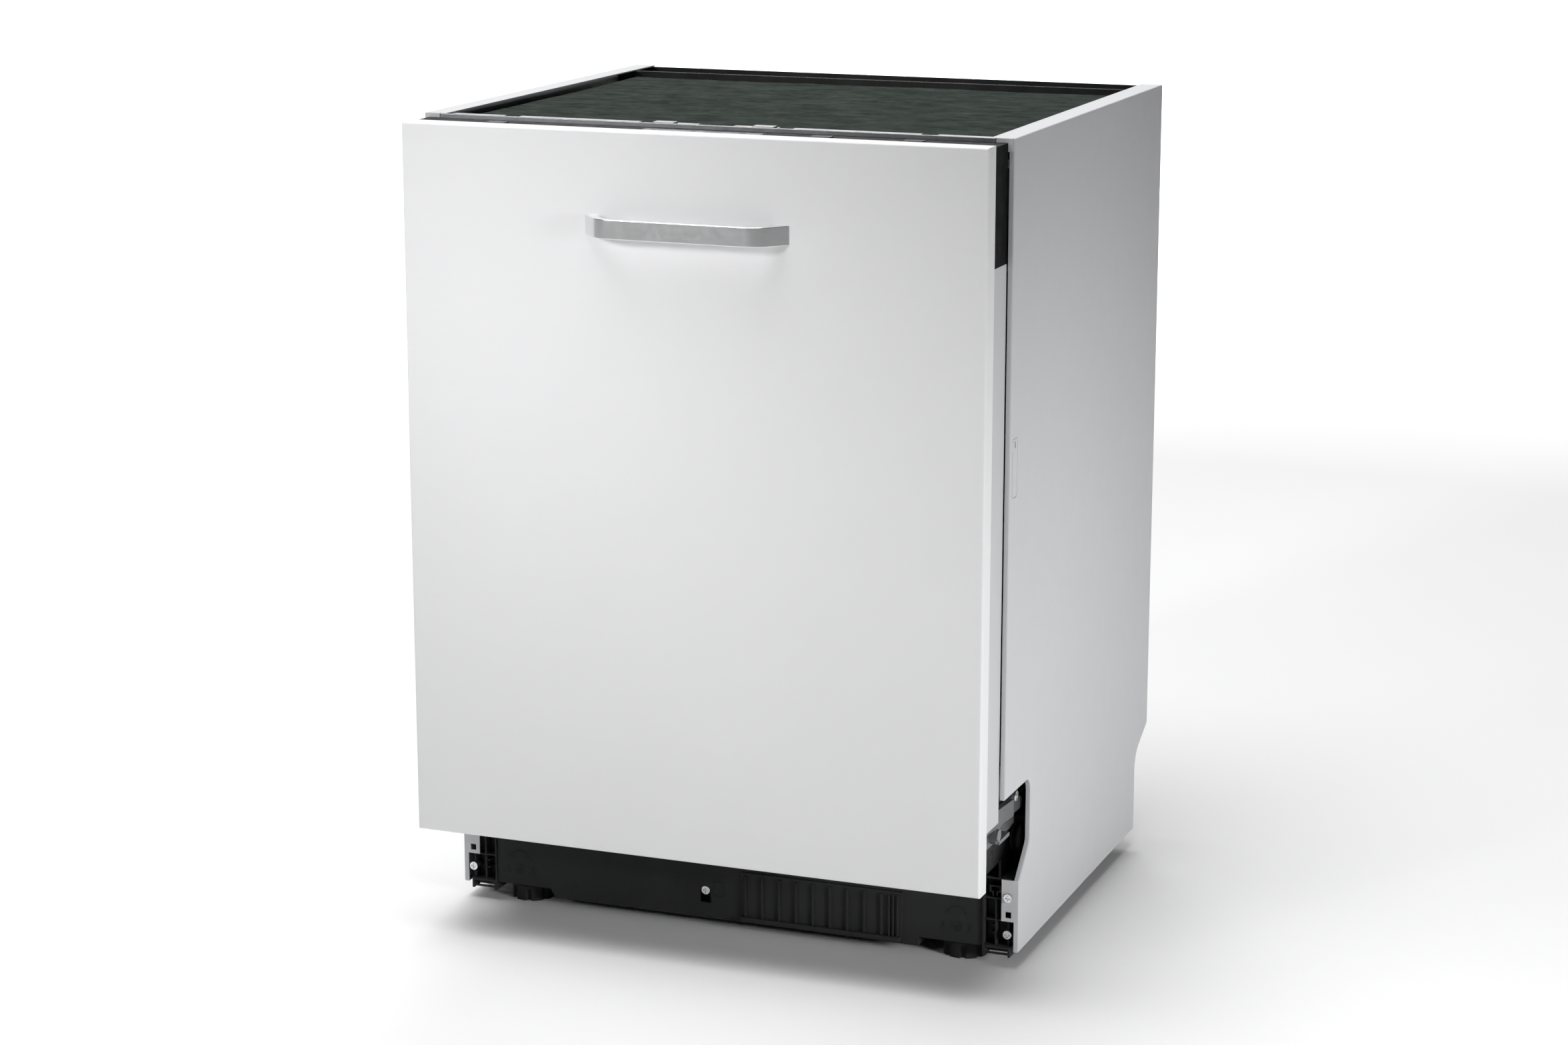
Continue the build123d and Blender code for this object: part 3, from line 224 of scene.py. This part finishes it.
def rubber(name):
    seal = Shader(name, 0.62)
    seal.colour(seal.noise(80.0, detail=3.0), (0.012, 0.012, 0.013), (0.022, 0.022, 0.023))
    seal.gloss(seal.noise(200.0), 0.55, 0.72)
    seal.relief(seal.noise(900.0), 0.00004)
    return seal.material


def smoked(name):
    lens = Shader(name, 0.08, Coat_Weight=0.6, Coat_Roughness=0.04)
    lens.colour(lens.noise(30.0), (0.008, 0.008, 0.01), (0.014, 0.014, 0.017))
    lens.gloss(lens.noise(400.0), 0.06, 0.12)
    return lens.material


WHITE = (0.80, 0.802, 0.81)
PAINT = (0.56, 0.565, 0.58)
BLACK = (0.034, 0.0345, 0.0355)
DEEP_BLACK = (0.005, 0.0051, 0.0055)
HORIZONTAL = (1, 1, 60)  # brushing lines that lie level

finishes = {
    "side_paint": painted("side_powder_coat", PAINT, 0.46, 0.00004),
    "front_lacquer": painted("front_lacquer", WHITE, 0.42, 0.000015, coat=0.1),
    "handle_metal": satin_metal("handle_satin", (0.86, 0.865, 0.875), 0.24),
    "zinc_steel": galvanised("zinc_sheet", (0.24, 0.243, 0.252), 0.36),
    "clip_paint": galvanised("tab_sheet", (0.42, 0.42, 0.43), 0.4),
    "felt": felt("sound_felt"),
    "black_steel": painted("black_rail_coat", (0.008, 0.008, 0.009), 0.28),
    "inox": brushed("brushed_inox", (0.62, 0.62, 0.615), 0.27, HORIZONTAL),
    "black_plastic": moulded("black_grained", BLACK, 0.5, shine=0.04),
    "rubber_seal": rubber("soft_seal"),
    "screw_zinc": turned_zinc("screw_zinc"),
    "grey_plastic": moulded("grey_moulding", (0.17, 0.18, 0.19), 0.4),
    "pale_plastic": moulded("pale_moulding", (0.62, 0.63, 0.64), 0.36),
    "motor": moulded("motor_housing", (0.03, 0.03, 0.033), 0.5, 0.0001, 900.0),
    "filter_mesh": brushed("filter_steel", (0.55, 0.55, 0.55), 0.3, HORIZONTAL),
    "rack_coating": painted("nylon_coat", (0.36, 0.385, 0.41), 0.36),
    "arm_steel": painted("arm_coat", (0.085, 0.088, 0.095), 0.38),
    "lens": smoked("smoked_lens"),
    "key": moulded("key_plastic", (0.05, 0.05, 0.055), 0.3),
}

PAINTED_SHADE_BELOW = 134  # painted shade: the brackets are drawn near black below this height, under their clips


def half_in_painted_shade(name, node):
    """Zinc sheet with painted shade: its lower part, under the clips, is drawn near black."""
    metal = Shader(name, 0.4, metallic=0.7)
    height = metal.tree.nodes.new("ShaderNodeSeparateXYZ")
    metal.link(metal.coords, height.inputs["Vector"])
    edge = PAINTED_SHADE_BELOW * MM - node.matrix_world.translation.z
    upper = metal.spread(height.outputs["Z"], 0.0, 1.0, edge, edge + MM)
    speckle = metal.noise(160.0, detail=3.0)
    zinc = metal.maths("MULTIPLY", upper, metal.spread(speckle, 0.85, 1.0))
    # painted shade: near black below the edge, speckled zinc above
    metal.colour(zinc, shade(DEEP_BLACK, 0.5), (0.3, 0.303, 0.31), 0.0, 1.0)
    metal.gloss(speckle, 0.36, 0.5)
    metal.relief(metal.noise(700.0, detail=2.0), 0.00002)
    return metal.material


own_finishes = {
    "hinge_brackets": half_in_painted_shade("bracket_steel_painted_shade", nodes["hinge_brackets"]),
    "balance_pulleys": moulded("pulley_black", DEEP_BLACK, 0.5, shine=0.04),
    "console_housing": moulded("console_black", DEEP_BLACK, 0.5, shine=0.04),
}

for part in frame["record"]["subparts"]:
    finish = own_finishes.get(part["node"], finishes[part["material_slot"]])
    for material_slot in nodes[part["node"]].material_slots:
        material_slot.material = finish


# --- mesh helpers -----------------------------------------------------------------------


def rounded(points, radius, closed=False, steps=6):
    """The path through points, with each corner an arc."""
    corners = [Vector(p) for p in points]
    path = []
    for i, corner in enumerate(corners):
        if not closed and i in (0, len(corners) - 1):
            path.append(corner)
            continue
        back = (corners[i - 1] - corner).normalized()
        ahead = (corners[(i + 1) % len(corners)] - corner).normalized()
        half = back.angle(ahead) / 2
        centre = corner + (back + ahead).normalized() * (radius / sin(half))
        first = corner + back * (radius / tan(half)) - centre
        last = corner + ahead * (radius / tan(half)) - centre
        side = (last - first * (first.dot(last) / radius**2)).normalized()
        for k in range(steps + 1):
            turn = (pi - 2 * half) * k / steps
            path.append(centre + first * cos(turn) + side * (radius * sin(turn)))
    return path


def wires(name, paths, sides=3):
    """Round wires as one mesh; each path is its points, its radius and whether it closes."""
    curve = bpy.data.curves.new(name, "CURVE")
    curve.dimensions = "3D"
    curve.bevel_depth = 1.0
    curve.bevel_resolution = sides
    curve.use_fill_caps = True
    for points, radius, loop in paths:
        spline = curve.splines.new("POLY")
        spline.points.add(len(points) - 1)
        for slot, point in zip(spline.points, points):
            slot.co = (*point, 1)
            slot.radius = radius
        spline.use_cyclic_u = loop
    holder = bpy.data.objects.new(name + "_line", curve)
    bpy.context.scene.collection.objects.link(holder)
    bpy.context.view_layer.update()
    mesh = bpy.data.meshes.new_from_object(holder)
    bpy.data.objects.remove(holder)
    for polygon in mesh.polygons:
        polygon.use_smooth = True
    piece = bpy.data.objects.new(name, mesh)
    bpy.context.scene.collection.objects.link(piece)
    return piece


def slab(bm, low, high, edge=0.8):
    """Box between two points with rounded edges of `edge` millimetres."""
    middle = (low + high) / 2
    size = high - low
    made = bmesh.ops.create_cube(bm, size=1, matrix=Matrix.Translation(middle) @ Matrix.Diagonal((*size, 1)))
    edges = list(dict.fromkeys(e for v in made["verts"] for e in v.link_edges))
    bmesh.ops.bevel(bm, geom=edges, offset=edge * MM, segments=2, affect="EDGES")


def lathe(bm, centre, axis, profile, segments=32):
    """Turned shape: profile is (radius, distance along the axis) in millimetres."""
    spin = Vector((0, 0, 1)).rotation_difference(Vector(axis)).to_matrix()
    rings = []
    for radius, along in profile:
        if radius == 0:
            rings.append([bm.verts.new(centre + spin @ Vector((0, 0, along * MM)))])
            continue
        ring = []
        for k in range(segments):
            angle = 2 * pi * k / segments
            local = Vector((radius * cos(angle), radius * sin(angle), along)) * MM
            ring.append(bm.verts.new(centre + spin @ local))
        rings.append(ring)
    for below, above in zip(rings, rings[1:]):
        for k in range(segments):
            loop = [below[k % len(below)], below[(k + 1) % len(below)]]
            loop += [above[(k + 1) % len(above)], above[k % len(above)]]
            bm.faces.new(list(dict.fromkeys(loop)))


def plate(bm, outline, depth, thick, hole=None):
    """Flat shape facing the front: outline of (x, z) millimetres, thick millimetres proud of depth."""
    front = [bm.verts.new(at(x, depth - thick, z)) for x, z in outline]
    back = [bm.verts.new(at(x, depth, z)) for x, z in outline]
    count = len(outline)
    if hole is None:
        bm.faces.new(front)
    for k in range(count):
        following = (k + 1) % count
        bm.faces.new((front[k], back[k], back[following], front[following]))
    if hole is None:
        return
    inner = [bm.verts.new(at(x, depth - thick, z)) for x, z in hole]
    sunk = [bm.verts.new(at(x, depth, z)) for x, z in hole]
    for k in range(count):
        following = (k + 1) % count
        bm.faces.new((front[k], front[following], inner[following], inner[k]))
        bm.faces.new((inner[k], inner[following], sunk[following], sunk[k]))


def circle(x, z, radius, count=28, start=0.0, end=2 * pi):
    """Points round a circle, or along a part of it."""
    whole = end - start >= 2 * pi - 1e-6
    steps = count if whole else count - 1
    angles = [start + (end - start) * k / steps for k in range(count)]
    return [(x + radius * cos(angle), z + radius * sin(angle)) for angle in angles]


def finish_piece(bm, name, body, slot_name, replaced=(), smooth_angle=35):
    """Turn a bmesh into a piece that rides on a body."""
    bmesh.ops.recalc_face_normals(bm, faces=bm.faces)
    mesh = bpy.data.meshes.new(name)
    bm.to_mesh(mesh)
    bm.free()
    piece = bpy.data.objects.new(name, mesh)
    bpy.context.scene.collection.objects.link(piece)
    for polygon in mesh.polygons:
        polygon.use_smooth = True
    mesh.set_sharp_from_angle(angle=radians(smooth_angle))
    return dress(piece, body, slot_name, replaced)


def dress(piece, body, slot_name, replaced=()):
    """Give a piece its finish, its body and the CAD nodes that it stands for."""
    piece.data.materials.clear()
    piece.data.materials.append(finishes[slot_name])
    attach(piece, body)
    if replaced:
        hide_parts(*replaced)
    return piece


# --- racks --------------------------------------------------------------------------------

BASKET_FRONT = 46
BASKET_BACK = 456
COLUMNS = 15
ROWS = 13


def evenly(low, high, count):
    return [low + (high - low) * k / (count - 1) for k in range(count)]


def tray(half, floor, rim, bend=14, wire=1.7, frame_wire=2.6):
    """Wires of a rack: bent floor wires both ways, a rim, a waist and a floor frame."""
    paths = []
    front, back = BASKET_FRONT + 3, BASKET_BACK - 3
    side = half - 3
    for x in evenly(-side + 12, side - 12, COLUMNS):
        corners = [at(x, front, rim - 2), at(x, front, floor), at(x, back, floor), at(x, back, rim - 2)]
        paths.append((rounded(corners, bend * MM), wire * MM, False))
    for depth in evenly(front + 12, back - 12, ROWS):
        low = floor + 2 * wire
        across = ((-side, rim - 2), (-side, low), (side, low), (side, rim - 2))
        corners = [at(x, depth, z) for x, z in across]
        paths.append((rounded(corners, bend * MM), wire * MM, False))
    for z, radius in ((rim - 3, frame_wire), ((floor + rim) / 2, 2.1), (floor + bend + 4, 2.1)):
        loop = [at(-side, front, z), at(side, front, z), at(side, back, z), at(-side, back, z)]
        paths.append((rounded(loop, 26 * MM, closed=True, steps=10), radius * MM, True))
    return paths


UPPER_HALF, UPPER_FLOOR, UPPER_RIM = 240, 522, 645
upper_paths = tray(UPPER_HALF, UPPER_FLOOR, UPPER_RIM)
for x in (-96, -48, 48, 96):
    for depth in evenly(80, 420, 15):
        prong = [at(x + lean, depth, UPPER_FLOOR + rise) for lean, rise in ((4, 3), (2, 30), (0, 58))]
        upper_paths.append((prong, 1.6 * MM, False))
    rod = [at(x + 4, 60, UPPER_FLOOR + 3), at(x + 4, 440, UPPER_FLOOR + 3)]
    upper_paths.append((rod, 2.0 * MM, False))
upper_wires = wires("upper_rack_wires", upper_paths)
dress(upper_wires, "upper_rack", "rack_coating", ["upper_basket"])

ROLLER_Z = 561
RUNNER = ((238.5, 243), (60, 445), (552, 570))
RUNNER_WEB = ((239, 242.5), (90, 420), (524, 553))
RUNNER_CLIP_DEPTHS = (120, 250, 380)
CLIP_HALF = 16


def side_slab(bm, side, across, depths, heights, edge):
    """Rounded box on one side of the middle: its spans of |x|, depth and height."""
    near, far = sorted(side * x for x in across)
    slab(bm, at(near, depths[0], heights[0]), at(far, depths[1], heights[1]), edge)


bm = bmesh.new()
for side in (-1, 1):
    side_slab(bm, side, *RUNNER, 1.2)
    side_slab(bm, side, *RUNNER_WEB, 1.2)
    for depth in RUNNER_CLIP_DEPTHS:
        side_slab(bm, side, (236, 240), (depth - CLIP_HALF, depth + CLIP_HALF), (530, 566), 1.5)
finish_piece(bm, "upper_rack_runners", "upper_rack", "grey_plastic")

bm = bmesh.new()
for side in (-1, 1):
    axle = [(0, 0), (3, 0), (3, 21), (2.4, 21.6), (0, 21.6)]
    lathe(bm, at(side * 242, 435, ROLLER_Z), (side, 0, 0), axle, 20)
finish_piece(bm, "upper_rack_axles", "upper_rack", "screw_zinc")

HUB_DEPTH = 250
bm = bmesh.new()
slab(bm, at(-9, HUB_DEPTH, 502), at(9, BASKET_BACK + 2.5, 512), 2.5)
lathe(
    bm,
    at(0, HUB_DEPTH, 481.5),
    (0, 0, 1),
    [(0, 0), (10, 0), (12, 1.5), (12, 3.4), (8, 3.6), (8, 19), (15, 20), (15, 36), (12, 39), (0, 39)],
    40,
)
for depth in (343, 433):
    slab(bm, at(-5, depth - 3, 510), at(5, depth + 3, 524), 1)
finish_piece(bm, "upper_arm_feed", "upper_rack", "grey_plastic")


def grip(name, body, z, front):
    """Moulded pull on the front of a rack."""
    shape = bmesh.new()
    slab(shape, at(-62, front, z - 14), at(62, front + 4.5, z + 3), 2)
    slab(shape, at(-54, front - 4, z - 3), at(54, front + 1, z + 2), 1.6)
    finish_piece(shape, name, body, "pale_plastic")


grip("upper_rack_grip", "upper_rack", UPPER_RIM - 1, BASKET_FRONT + 2)

for side, name in ((-1, "left"), (1, "right")):
    low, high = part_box(f"{name}_cup_shelf")
    z = (low.z + high.z) / 2
    hinge_x = (high.x if side > 0 else low.x) - side * 2 * MM
    free_x = (low.x if side > 0 else high.x) + side * 2 * MM
    ends = (low.y + 6 * MM, high.y - 6 * MM)
    loop = [Vector((hinge_x, ends[0], z)), Vector((free_x, ends[0], z))]
    loop += [Vector((free_x, ends[1], z)), Vector((hinge_x, ends[1], z))]
    shelf_paths = [(rounded(loop, 16 * MM, closed=True), 2.0 * MM, True)]
    for y in evenly(ends[0] + 24 * MM, ends[1] - 24 * MM, 13):
        rest = [Vector((hinge_x, y, z)), Vector((free_x, y, z))]
        shelf_paths.append((rest, 1.4 * MM, False))
    for share in (0.33, 0.66):
        x = hinge_x + (free_x - hinge_x) * share
        shelf_paths.append(([Vector((x, ends[0], z)), Vector((x, ends[1], z))], 1.4 * MM, False))
    shelf = wires(f"{name}_shelf_wires", shelf_paths)
    dress(shelf, f"{name}_shelf", "rack_coating", [f"{name}_cup_shelf"])

LOWER_HALF, LOWER_FLOOR, LOWER_RIM = 236, 207, 340
WHEEL_Z = 188.8
WHEEL_DEPTHS = (100, 400)
PIN_ROWS = (105.5, 395.5)
PIN_TOP = 268
TINE_X = [-213 + 38 * k for k in range(9)]
lower_paths = tray(LOWER_HALF, LOWER_FLOOR, LOWER_RIM)
for depth in PIN_ROWS:
    lower_paths.append(([at(-228, depth, LOWER_FLOOR + 4), at(110, depth, LOWER_FLOOR + 4)], 2.0 * MM, False))
    for x in TINE_X:
        pin = [at(x, depth, LOWER_FLOOR + 4), at(x, depth + 1, 240), at(x, depth + 4, PIN_TOP)]
        lower_paths.append((rounded(pin, 20 * MM), 1.8 * MM, False))
lower_wires = wires("lower_rack_wires", lower_paths)
dress(lower_wires, "lower_rack", "rack_coating", ["lower_basket"])

bm = bmesh.new()
for side in (-1, 1):
    for depth in WHEEL_DEPTHS:
        side_slab(bm, side, (233, 237.5), (depth - 10, depth + 10), (WHEEL_Z - 11, 226), 2)
        hub = [(0, 0), (9, 0), (9, 5), (4, 6.5), (4, 21.5), (5.6, 21.7), (5.6, 22.6), (4, 23), (0, 23)]
        lathe(bm, at(side * 235, depth, WHEEL_Z), (side, 0, 0), hub, 24)
finish_piece(bm, "lower_rack_wheel_mounts", "lower_rack", "grey_plastic")
grip("lower_rack_grip", "lower_rack", LOWER_RIM - 1, BASKET_FRONT + 2)

rod_low, rod_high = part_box("folding_tines")
rod_z = rod_low.z + 2 * MM
rod_y = (rod_low.y + rod_high.y) / 2
tine_paths = [([Vector((rod_low.x, rod_y, rod_z)), Vector((rod_high.x, rod_y, rod_z))], 2.0 * MM, False)]
for x in TINE_X:
    foot = Vector((x * MM + 1.5 * MM, rod_y, rod_z))
    tip = Vector((foot.x, rod_y, rod_high.z))
    tine_paths.append(([foot, foot + Vector((0, 0, 35 * MM)), tip], 1.8 * MM, False))
tines = wires("folding_tine_wires", tine_paths)
dress(tines, "tines", "rack_coating", ["folding_tines"])

# --- balance springs ----------------------------------------------------------------------

SPRING_X = 282
SPRING_Z = 110
HOOK_DEPTHS = (104, 458)
SPRING_DEPTHS = (127, 328)
COIL_R = 6.6
COIL_WIRE = 1.25
COIL_TURNS = 62
COIL_STEPS = 12
coils = []
for side in (-1, 1):
    path = []
    for k in range(COIL_TURNS * COIL_STEPS + 1):
        share = k / (COIL_TURNS * COIL_STEPS)
        angle = 2 * pi * k / COIL_STEPS
        depth = SPRING_DEPTHS[0] + (SPRING_DEPTHS[1] - SPRING_DEPTHS[0]) * share
        path.append(at(side * SPRING_X + COIL_R * sin(angle), depth, SPRING_Z + COIL_R * cos(angle)))
    coils.append((path, COIL_WIRE * MM, False))
    for near, far in zip(SPRING_DEPTHS, HOOK_DEPTHS):
        bend = near + (far - near) * 0.08
        hook = [(near, SPRING_Z + COIL_R), (bend, SPRING_Z), (far, SPRING_Z)]
        coils.append(([at(side * SPRING_X, depth, z) for depth, z in hook], COIL_WIRE * MM, False))
springs = wires("balance_spring_coils", coils, sides=2)
dress(springs, "cabinet", "screw_zinc", ["balance_springs"])

# --- sound mat ------------------------------------------------------------------------------

mat_low, mat_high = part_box("top_insulation_mat")
MAT_COLUMNS, MAT_ROWS = 150, 110
MAT_EDGE = 0.004


def mat_height(x, y):
    """Top of the mat: soft swells, and an edge that rolls down."""
    margin = min(x - mat_low.x, mat_high.x - x, y - mat_low.y, mat_high.y - y)
    roll = min(1.0, margin / MAT_EDGE)
    swell = noise.noise(Vector((x * 9, y * 9, 3.1))) + 0.5 * noise.noise(Vector((x * 31, y * 31, 7.7)))
    tuft = noise.noise(Vector((x * 130, y * 130, 1.3)))
    return mat_high.z - 0.0012 + 0.0008 * swell + 0.0003 * tuft - 0.003 * (1 - roll) ** 2


bm = bmesh.new()
grid = [
    [bm.verts.new((x, y, mat_height(x, y))) for x in evenly(mat_low.x, mat_high.x, MAT_COLUMNS)]
    for y in evenly(mat_low.y, mat_high.y, MAT_ROWS)
]
for near, far in zip(grid, grid[1:]):
    for k in range(MAT_COLUMNS - 1):
        bm.faces.new((near[k], near[k + 1], far[k + 1], far[k]))
rim = [e for e in bm.edges if e.is_boundary]
walls = bmesh.ops.extrude_edge_only(bm, edges=rim)["geom"]
for v in walls:
    if isinstance(v, bmesh.types.BMVert):
        v.co.z = mat_low.z
bmesh.ops.contextual_create(bm, geom=[e for e in bm.edges if e.is_boundary])
mat = finish_piece(bm, "sound_mat", "cabinet", "felt", ["top_insulation_mat"], 60)

# --- hinge rollers and the marks moulded in the skirt ---------------------------------------

bm = bmesh.new()
for side in (-1, 1):
    tread = [(0, -0.2), (4.2, -0.2), (5.4, 0.3), (5.6, 1.2), (5.6, 2.4), (5.0, 3.0)]
    hub = [(2.6, 3.1), (2.4, 3.6), (0, 3.7)]
    lathe(bm, at(side * 287, 67, 171.5), (side, 0, 0), tread + hub, 32)
finish_piece(bm, "hinge_rollers", "door", "screw_zinc")

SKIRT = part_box("base_tray")[0].y
SKIRT_DEPTH = (SKIRT - FRONT) / MM
PROUD = 0.5


def ring(bm, x, z, radius, width, start=0.0, end=2 * pi):
    """Raised ring, or a part of one with closed ends."""
    count = 28
    outer = circle(x, z, radius, count, start, end)
    inner = circle(x, z, radius - width, count, start, end)
    if end - start >= 2 * pi - 1e-6:
        plate(bm, outer, SKIRT_DEPTH, PROUD, inner)
    else:
        plate(bm, outer + inner[::-1], SKIRT_DEPTH, PROUD)


def arrow_head(bm, x, z, angle, size):
    """Raised triangle pointing along angle."""
    half = size * 0.62
    tip = (x + size * cos(angle), z + size * sin(angle))
    wings = [(x + half * cos(angle + turn), z + half * sin(angle + turn)) for turn in (pi / 2, -pi / 2)]
    plate(bm, [tip, *wings], SKIRT_DEPTH, PROUD)


def mark(bm, x, outline):
    """Raised shape whose outline is given round x."""
    plate(bm, [(x + dx, z) for dx, z in outline], SKIRT_DEPTH, PROUD)


MARK_X = 236
SCREW_MARK_Z = 36
FOOT_STEM = ((1.1, 33.6), (1.1, 39.5), (-1.1, 39.5), (-1.1, 33.6))
FOOT_SIGN = [(-3.4, 30.5), (3.4, 30.5), (3.4, 33), *FOOT_STEM, (-3.4, 33)]
bm = bmesh.new()
for x in (-MARK_X, MARK_X):
    ring(bm, x, SCREW_MARK_Z, 5.5, 1.2)
    for half_x, half_z in ((2.6, 0.5), (0.5, 2.6)):
        low, high = SCREW_MARK_Z - half_z, SCREW_MARK_Z + half_z
        mark(bm, x, [(-half_x, low), (half_x, low), (half_x, high), (-half_x, high)])
    ring(bm, x, 46, 11, 1.2, radians(25), radians(155))
    arrow_head(bm, x + 9.6, 50.2, radians(-70), 4.4)
    arrow_head(bm, x - 9.6, 50.2, radians(250), 4.4)
    for side in (-1, 1):
        mark(bm, x + side * 14, FOOT_SIGN)
    for dx, direction, head_z, stem_low in ((-3, 90, 72, 64), (3, -90, 68, 68)):
        arrow_head(bm, x + dx, head_z, radians(direction), 5)
        stem_high = stem_low + 8
        mark(bm, x + dx, [(-0.8, stem_low), (0.8, stem_low), (0.8, stem_high), (-0.8, stem_high)])
for x in (-56, -16):
    outer = [(x - 6, 34), (x + 6, 34), (x + 6, 50), (x - 6, 50)]
    inner = [(x - 5, 35), (x + 5, 35), (x + 5, 49), (x - 5, 49)]
    plate(bm, outer, SKIRT_DEPTH, PROUD * 0.6, inner)
finish_piece(bm, "skirt_marks", "cabinet", "black_plastic")

# --- studio -----------------------------------------------------------------------------------

scene = bpy.context.scene
scene.view_settings.view_transform = "Standard"
scene.view_settings.look = "None"

floor_material = Shader("studio_floor", 0.9)
floor_material.colour(floor_material.noise(2.0), (0.94, 0.94, 0.94), (0.955, 0.955, 0.955))
FLOOR_HALF = 40
FADE_START, FADE_END = 2.2, 5.5  # the floor turns plain white at these distances from the middle
reach = floor_material.tree.nodes.new("ShaderNodeVectorMath")
reach.operation = "LENGTH"
floor_material.link(floor_material.coords, reach.inputs[0])
far_share = floor_material.spread(reach.outputs["Value"], 0.0, 1.0, FADE_START, FADE_END)
camera_ray = floor_material.tree.nodes.new("ShaderNodeLightPath").outputs["Is Camera Ray"]
floor_material.bsdf.inputs["Emission Color"].default_value = (1, 1, 1, 1)
glow = floor_material.maths("MULTIPLY", far_share, camera_ray)
floor_material.link(glow, floor_material.bsdf.inputs["Emission Strength"])
bm = bmesh.new()
bmesh.ops.create_grid(bm, x_segments=2, y_segments=2, size=FLOOR_HALF)
floor_mesh = bpy.data.meshes.new("studio_floor")
bm.to_mesh(floor_mesh)
bm.free()
floor = bpy.data.objects.new("studio_floor", floor_mesh)
floor.data.materials.append(floor_material.material)
scene.collection.objects.link(floor)

world = bpy.data.worlds.new("studio")
scene.world = world
world.use_nodes = True
sky = world.node_tree
direction = sky.nodes.new("ShaderNodeTexCoord").outputs["Generated"]
axes = sky.nodes.new("ShaderNodeSeparateXYZ")
sky.links.new(direction, axes.inputs["Vector"])


def fade(axis, start, end, low):
    """Sky brightness falling from 1 to low as the direction turns along an axis."""
    node = sky.nodes.new("ShaderNodeMapRange")
    node.interpolation_type = "SMOOTHSTEP"
    for socket, number in (("From Min", start), ("From Max", end), ("To Min", 1.0), ("To Max", low)):
        node.inputs[socket].default_value = number
    sky.links.new(axes.outputs[axis], node.inputs["Value"])
    return node.outputs["Result"]


SKY_STRENGTH = 0.04
brightness = sky.nodes.new("ShaderNodeMath")
brightness.operation = "MULTIPLY"
sky.links.new(fade("X", -0.4, 0.7, 0.12), brightness.inputs[0])
sky.links.new(fade("Y", 0.1, 0.9, 0.5), brightness.inputs[1])
level = sky.nodes.new("ShaderNodeMath")
level.operation = "MULTIPLY"
level.inputs[1].default_value = SKY_STRENGTH
sky.links.new(brightness.outputs[0], level.inputs[0])
background = sky.nodes["Background"]
background.inputs["Color"].default_value = (1, 1, 1, 1)
seen_sky = sky.nodes.new("ShaderNodeMath")
seen_sky.operation = "MAXIMUM"
sky.links.new(level.outputs[0], seen_sky.inputs[0])
sky.links.new(sky.nodes.new("ShaderNodeLightPath").outputs["Is Camera Ray"], seen_sky.inputs[1])
sky.links.new(seen_sky.outputs[0], background.inputs["Strength"])


def lamp(name, kind, place, target, power, **settings):
    """Light of a kind, aimed at a point."""
    light = bpy.data.lights.new(name, kind)
    light.energy = power
    for setting, value in settings.items():
        setattr(light, setting, value)
    holder = bpy.data.objects.new(name, light)
    holder.location = place
    holder.rotation_euler = (Vector(target) - Vector(place)).to_track_quat("-Z", "Y").to_euler()
    scene.collection.objects.link(holder)
    return holder


def spot(name, place, target, power, cone):
    """Spotlight whose cone of `cone` degrees fades out to its rim."""
    angle = radians(cone)
    return lamp(name, "SPOT", place, target, power, spot_size=angle, spot_blend=1.0, shadow_soft_size=0.3)


lamp("overhead", "AREA", (-0.6, -0.5, 5.0), (0, 0, 0), 232, size=3.5)
lamp("backdrop", "AREA", (-3.0, 8.5, 6.0), (-3.0, 8.6, 0), 650, size=6.0)
lamp("left_fill", "AREA", (-3.4, 1.6, 1.6), (0, 0.2, 0.4), 12, size=1.6)
spot("key", (-1.3, -2.7, 1.6), (-0.2, -0.27, 0.68), 205, 21)
side_light = spot("side", (2.78, -1.2, 0.76), (0.3, -0.15, 0.22), 215, 31)
side_light.visible_glossy = False

CAMERA_PLACE = (1.2294, -3.1889, 1.1830)
CAMERA_PITCH = 13.1178  # degrees below level
CAMERA_YAW = 21.2126  # degrees round from straight ahead
camera_data = bpy.data.cameras.new("camera")
camera_data.lens = 78.93
camera_data.sensor_width = 36
camera_data.clip_end = 200
camera = bpy.data.objects.new("camera", camera_data)
camera.location = CAMERA_PLACE
camera.rotation_euler = (radians(90 - CAMERA_PITCH), 0, radians(CAMERA_YAW))
scene.collection.objects.link(camera)
scene.camera = camera
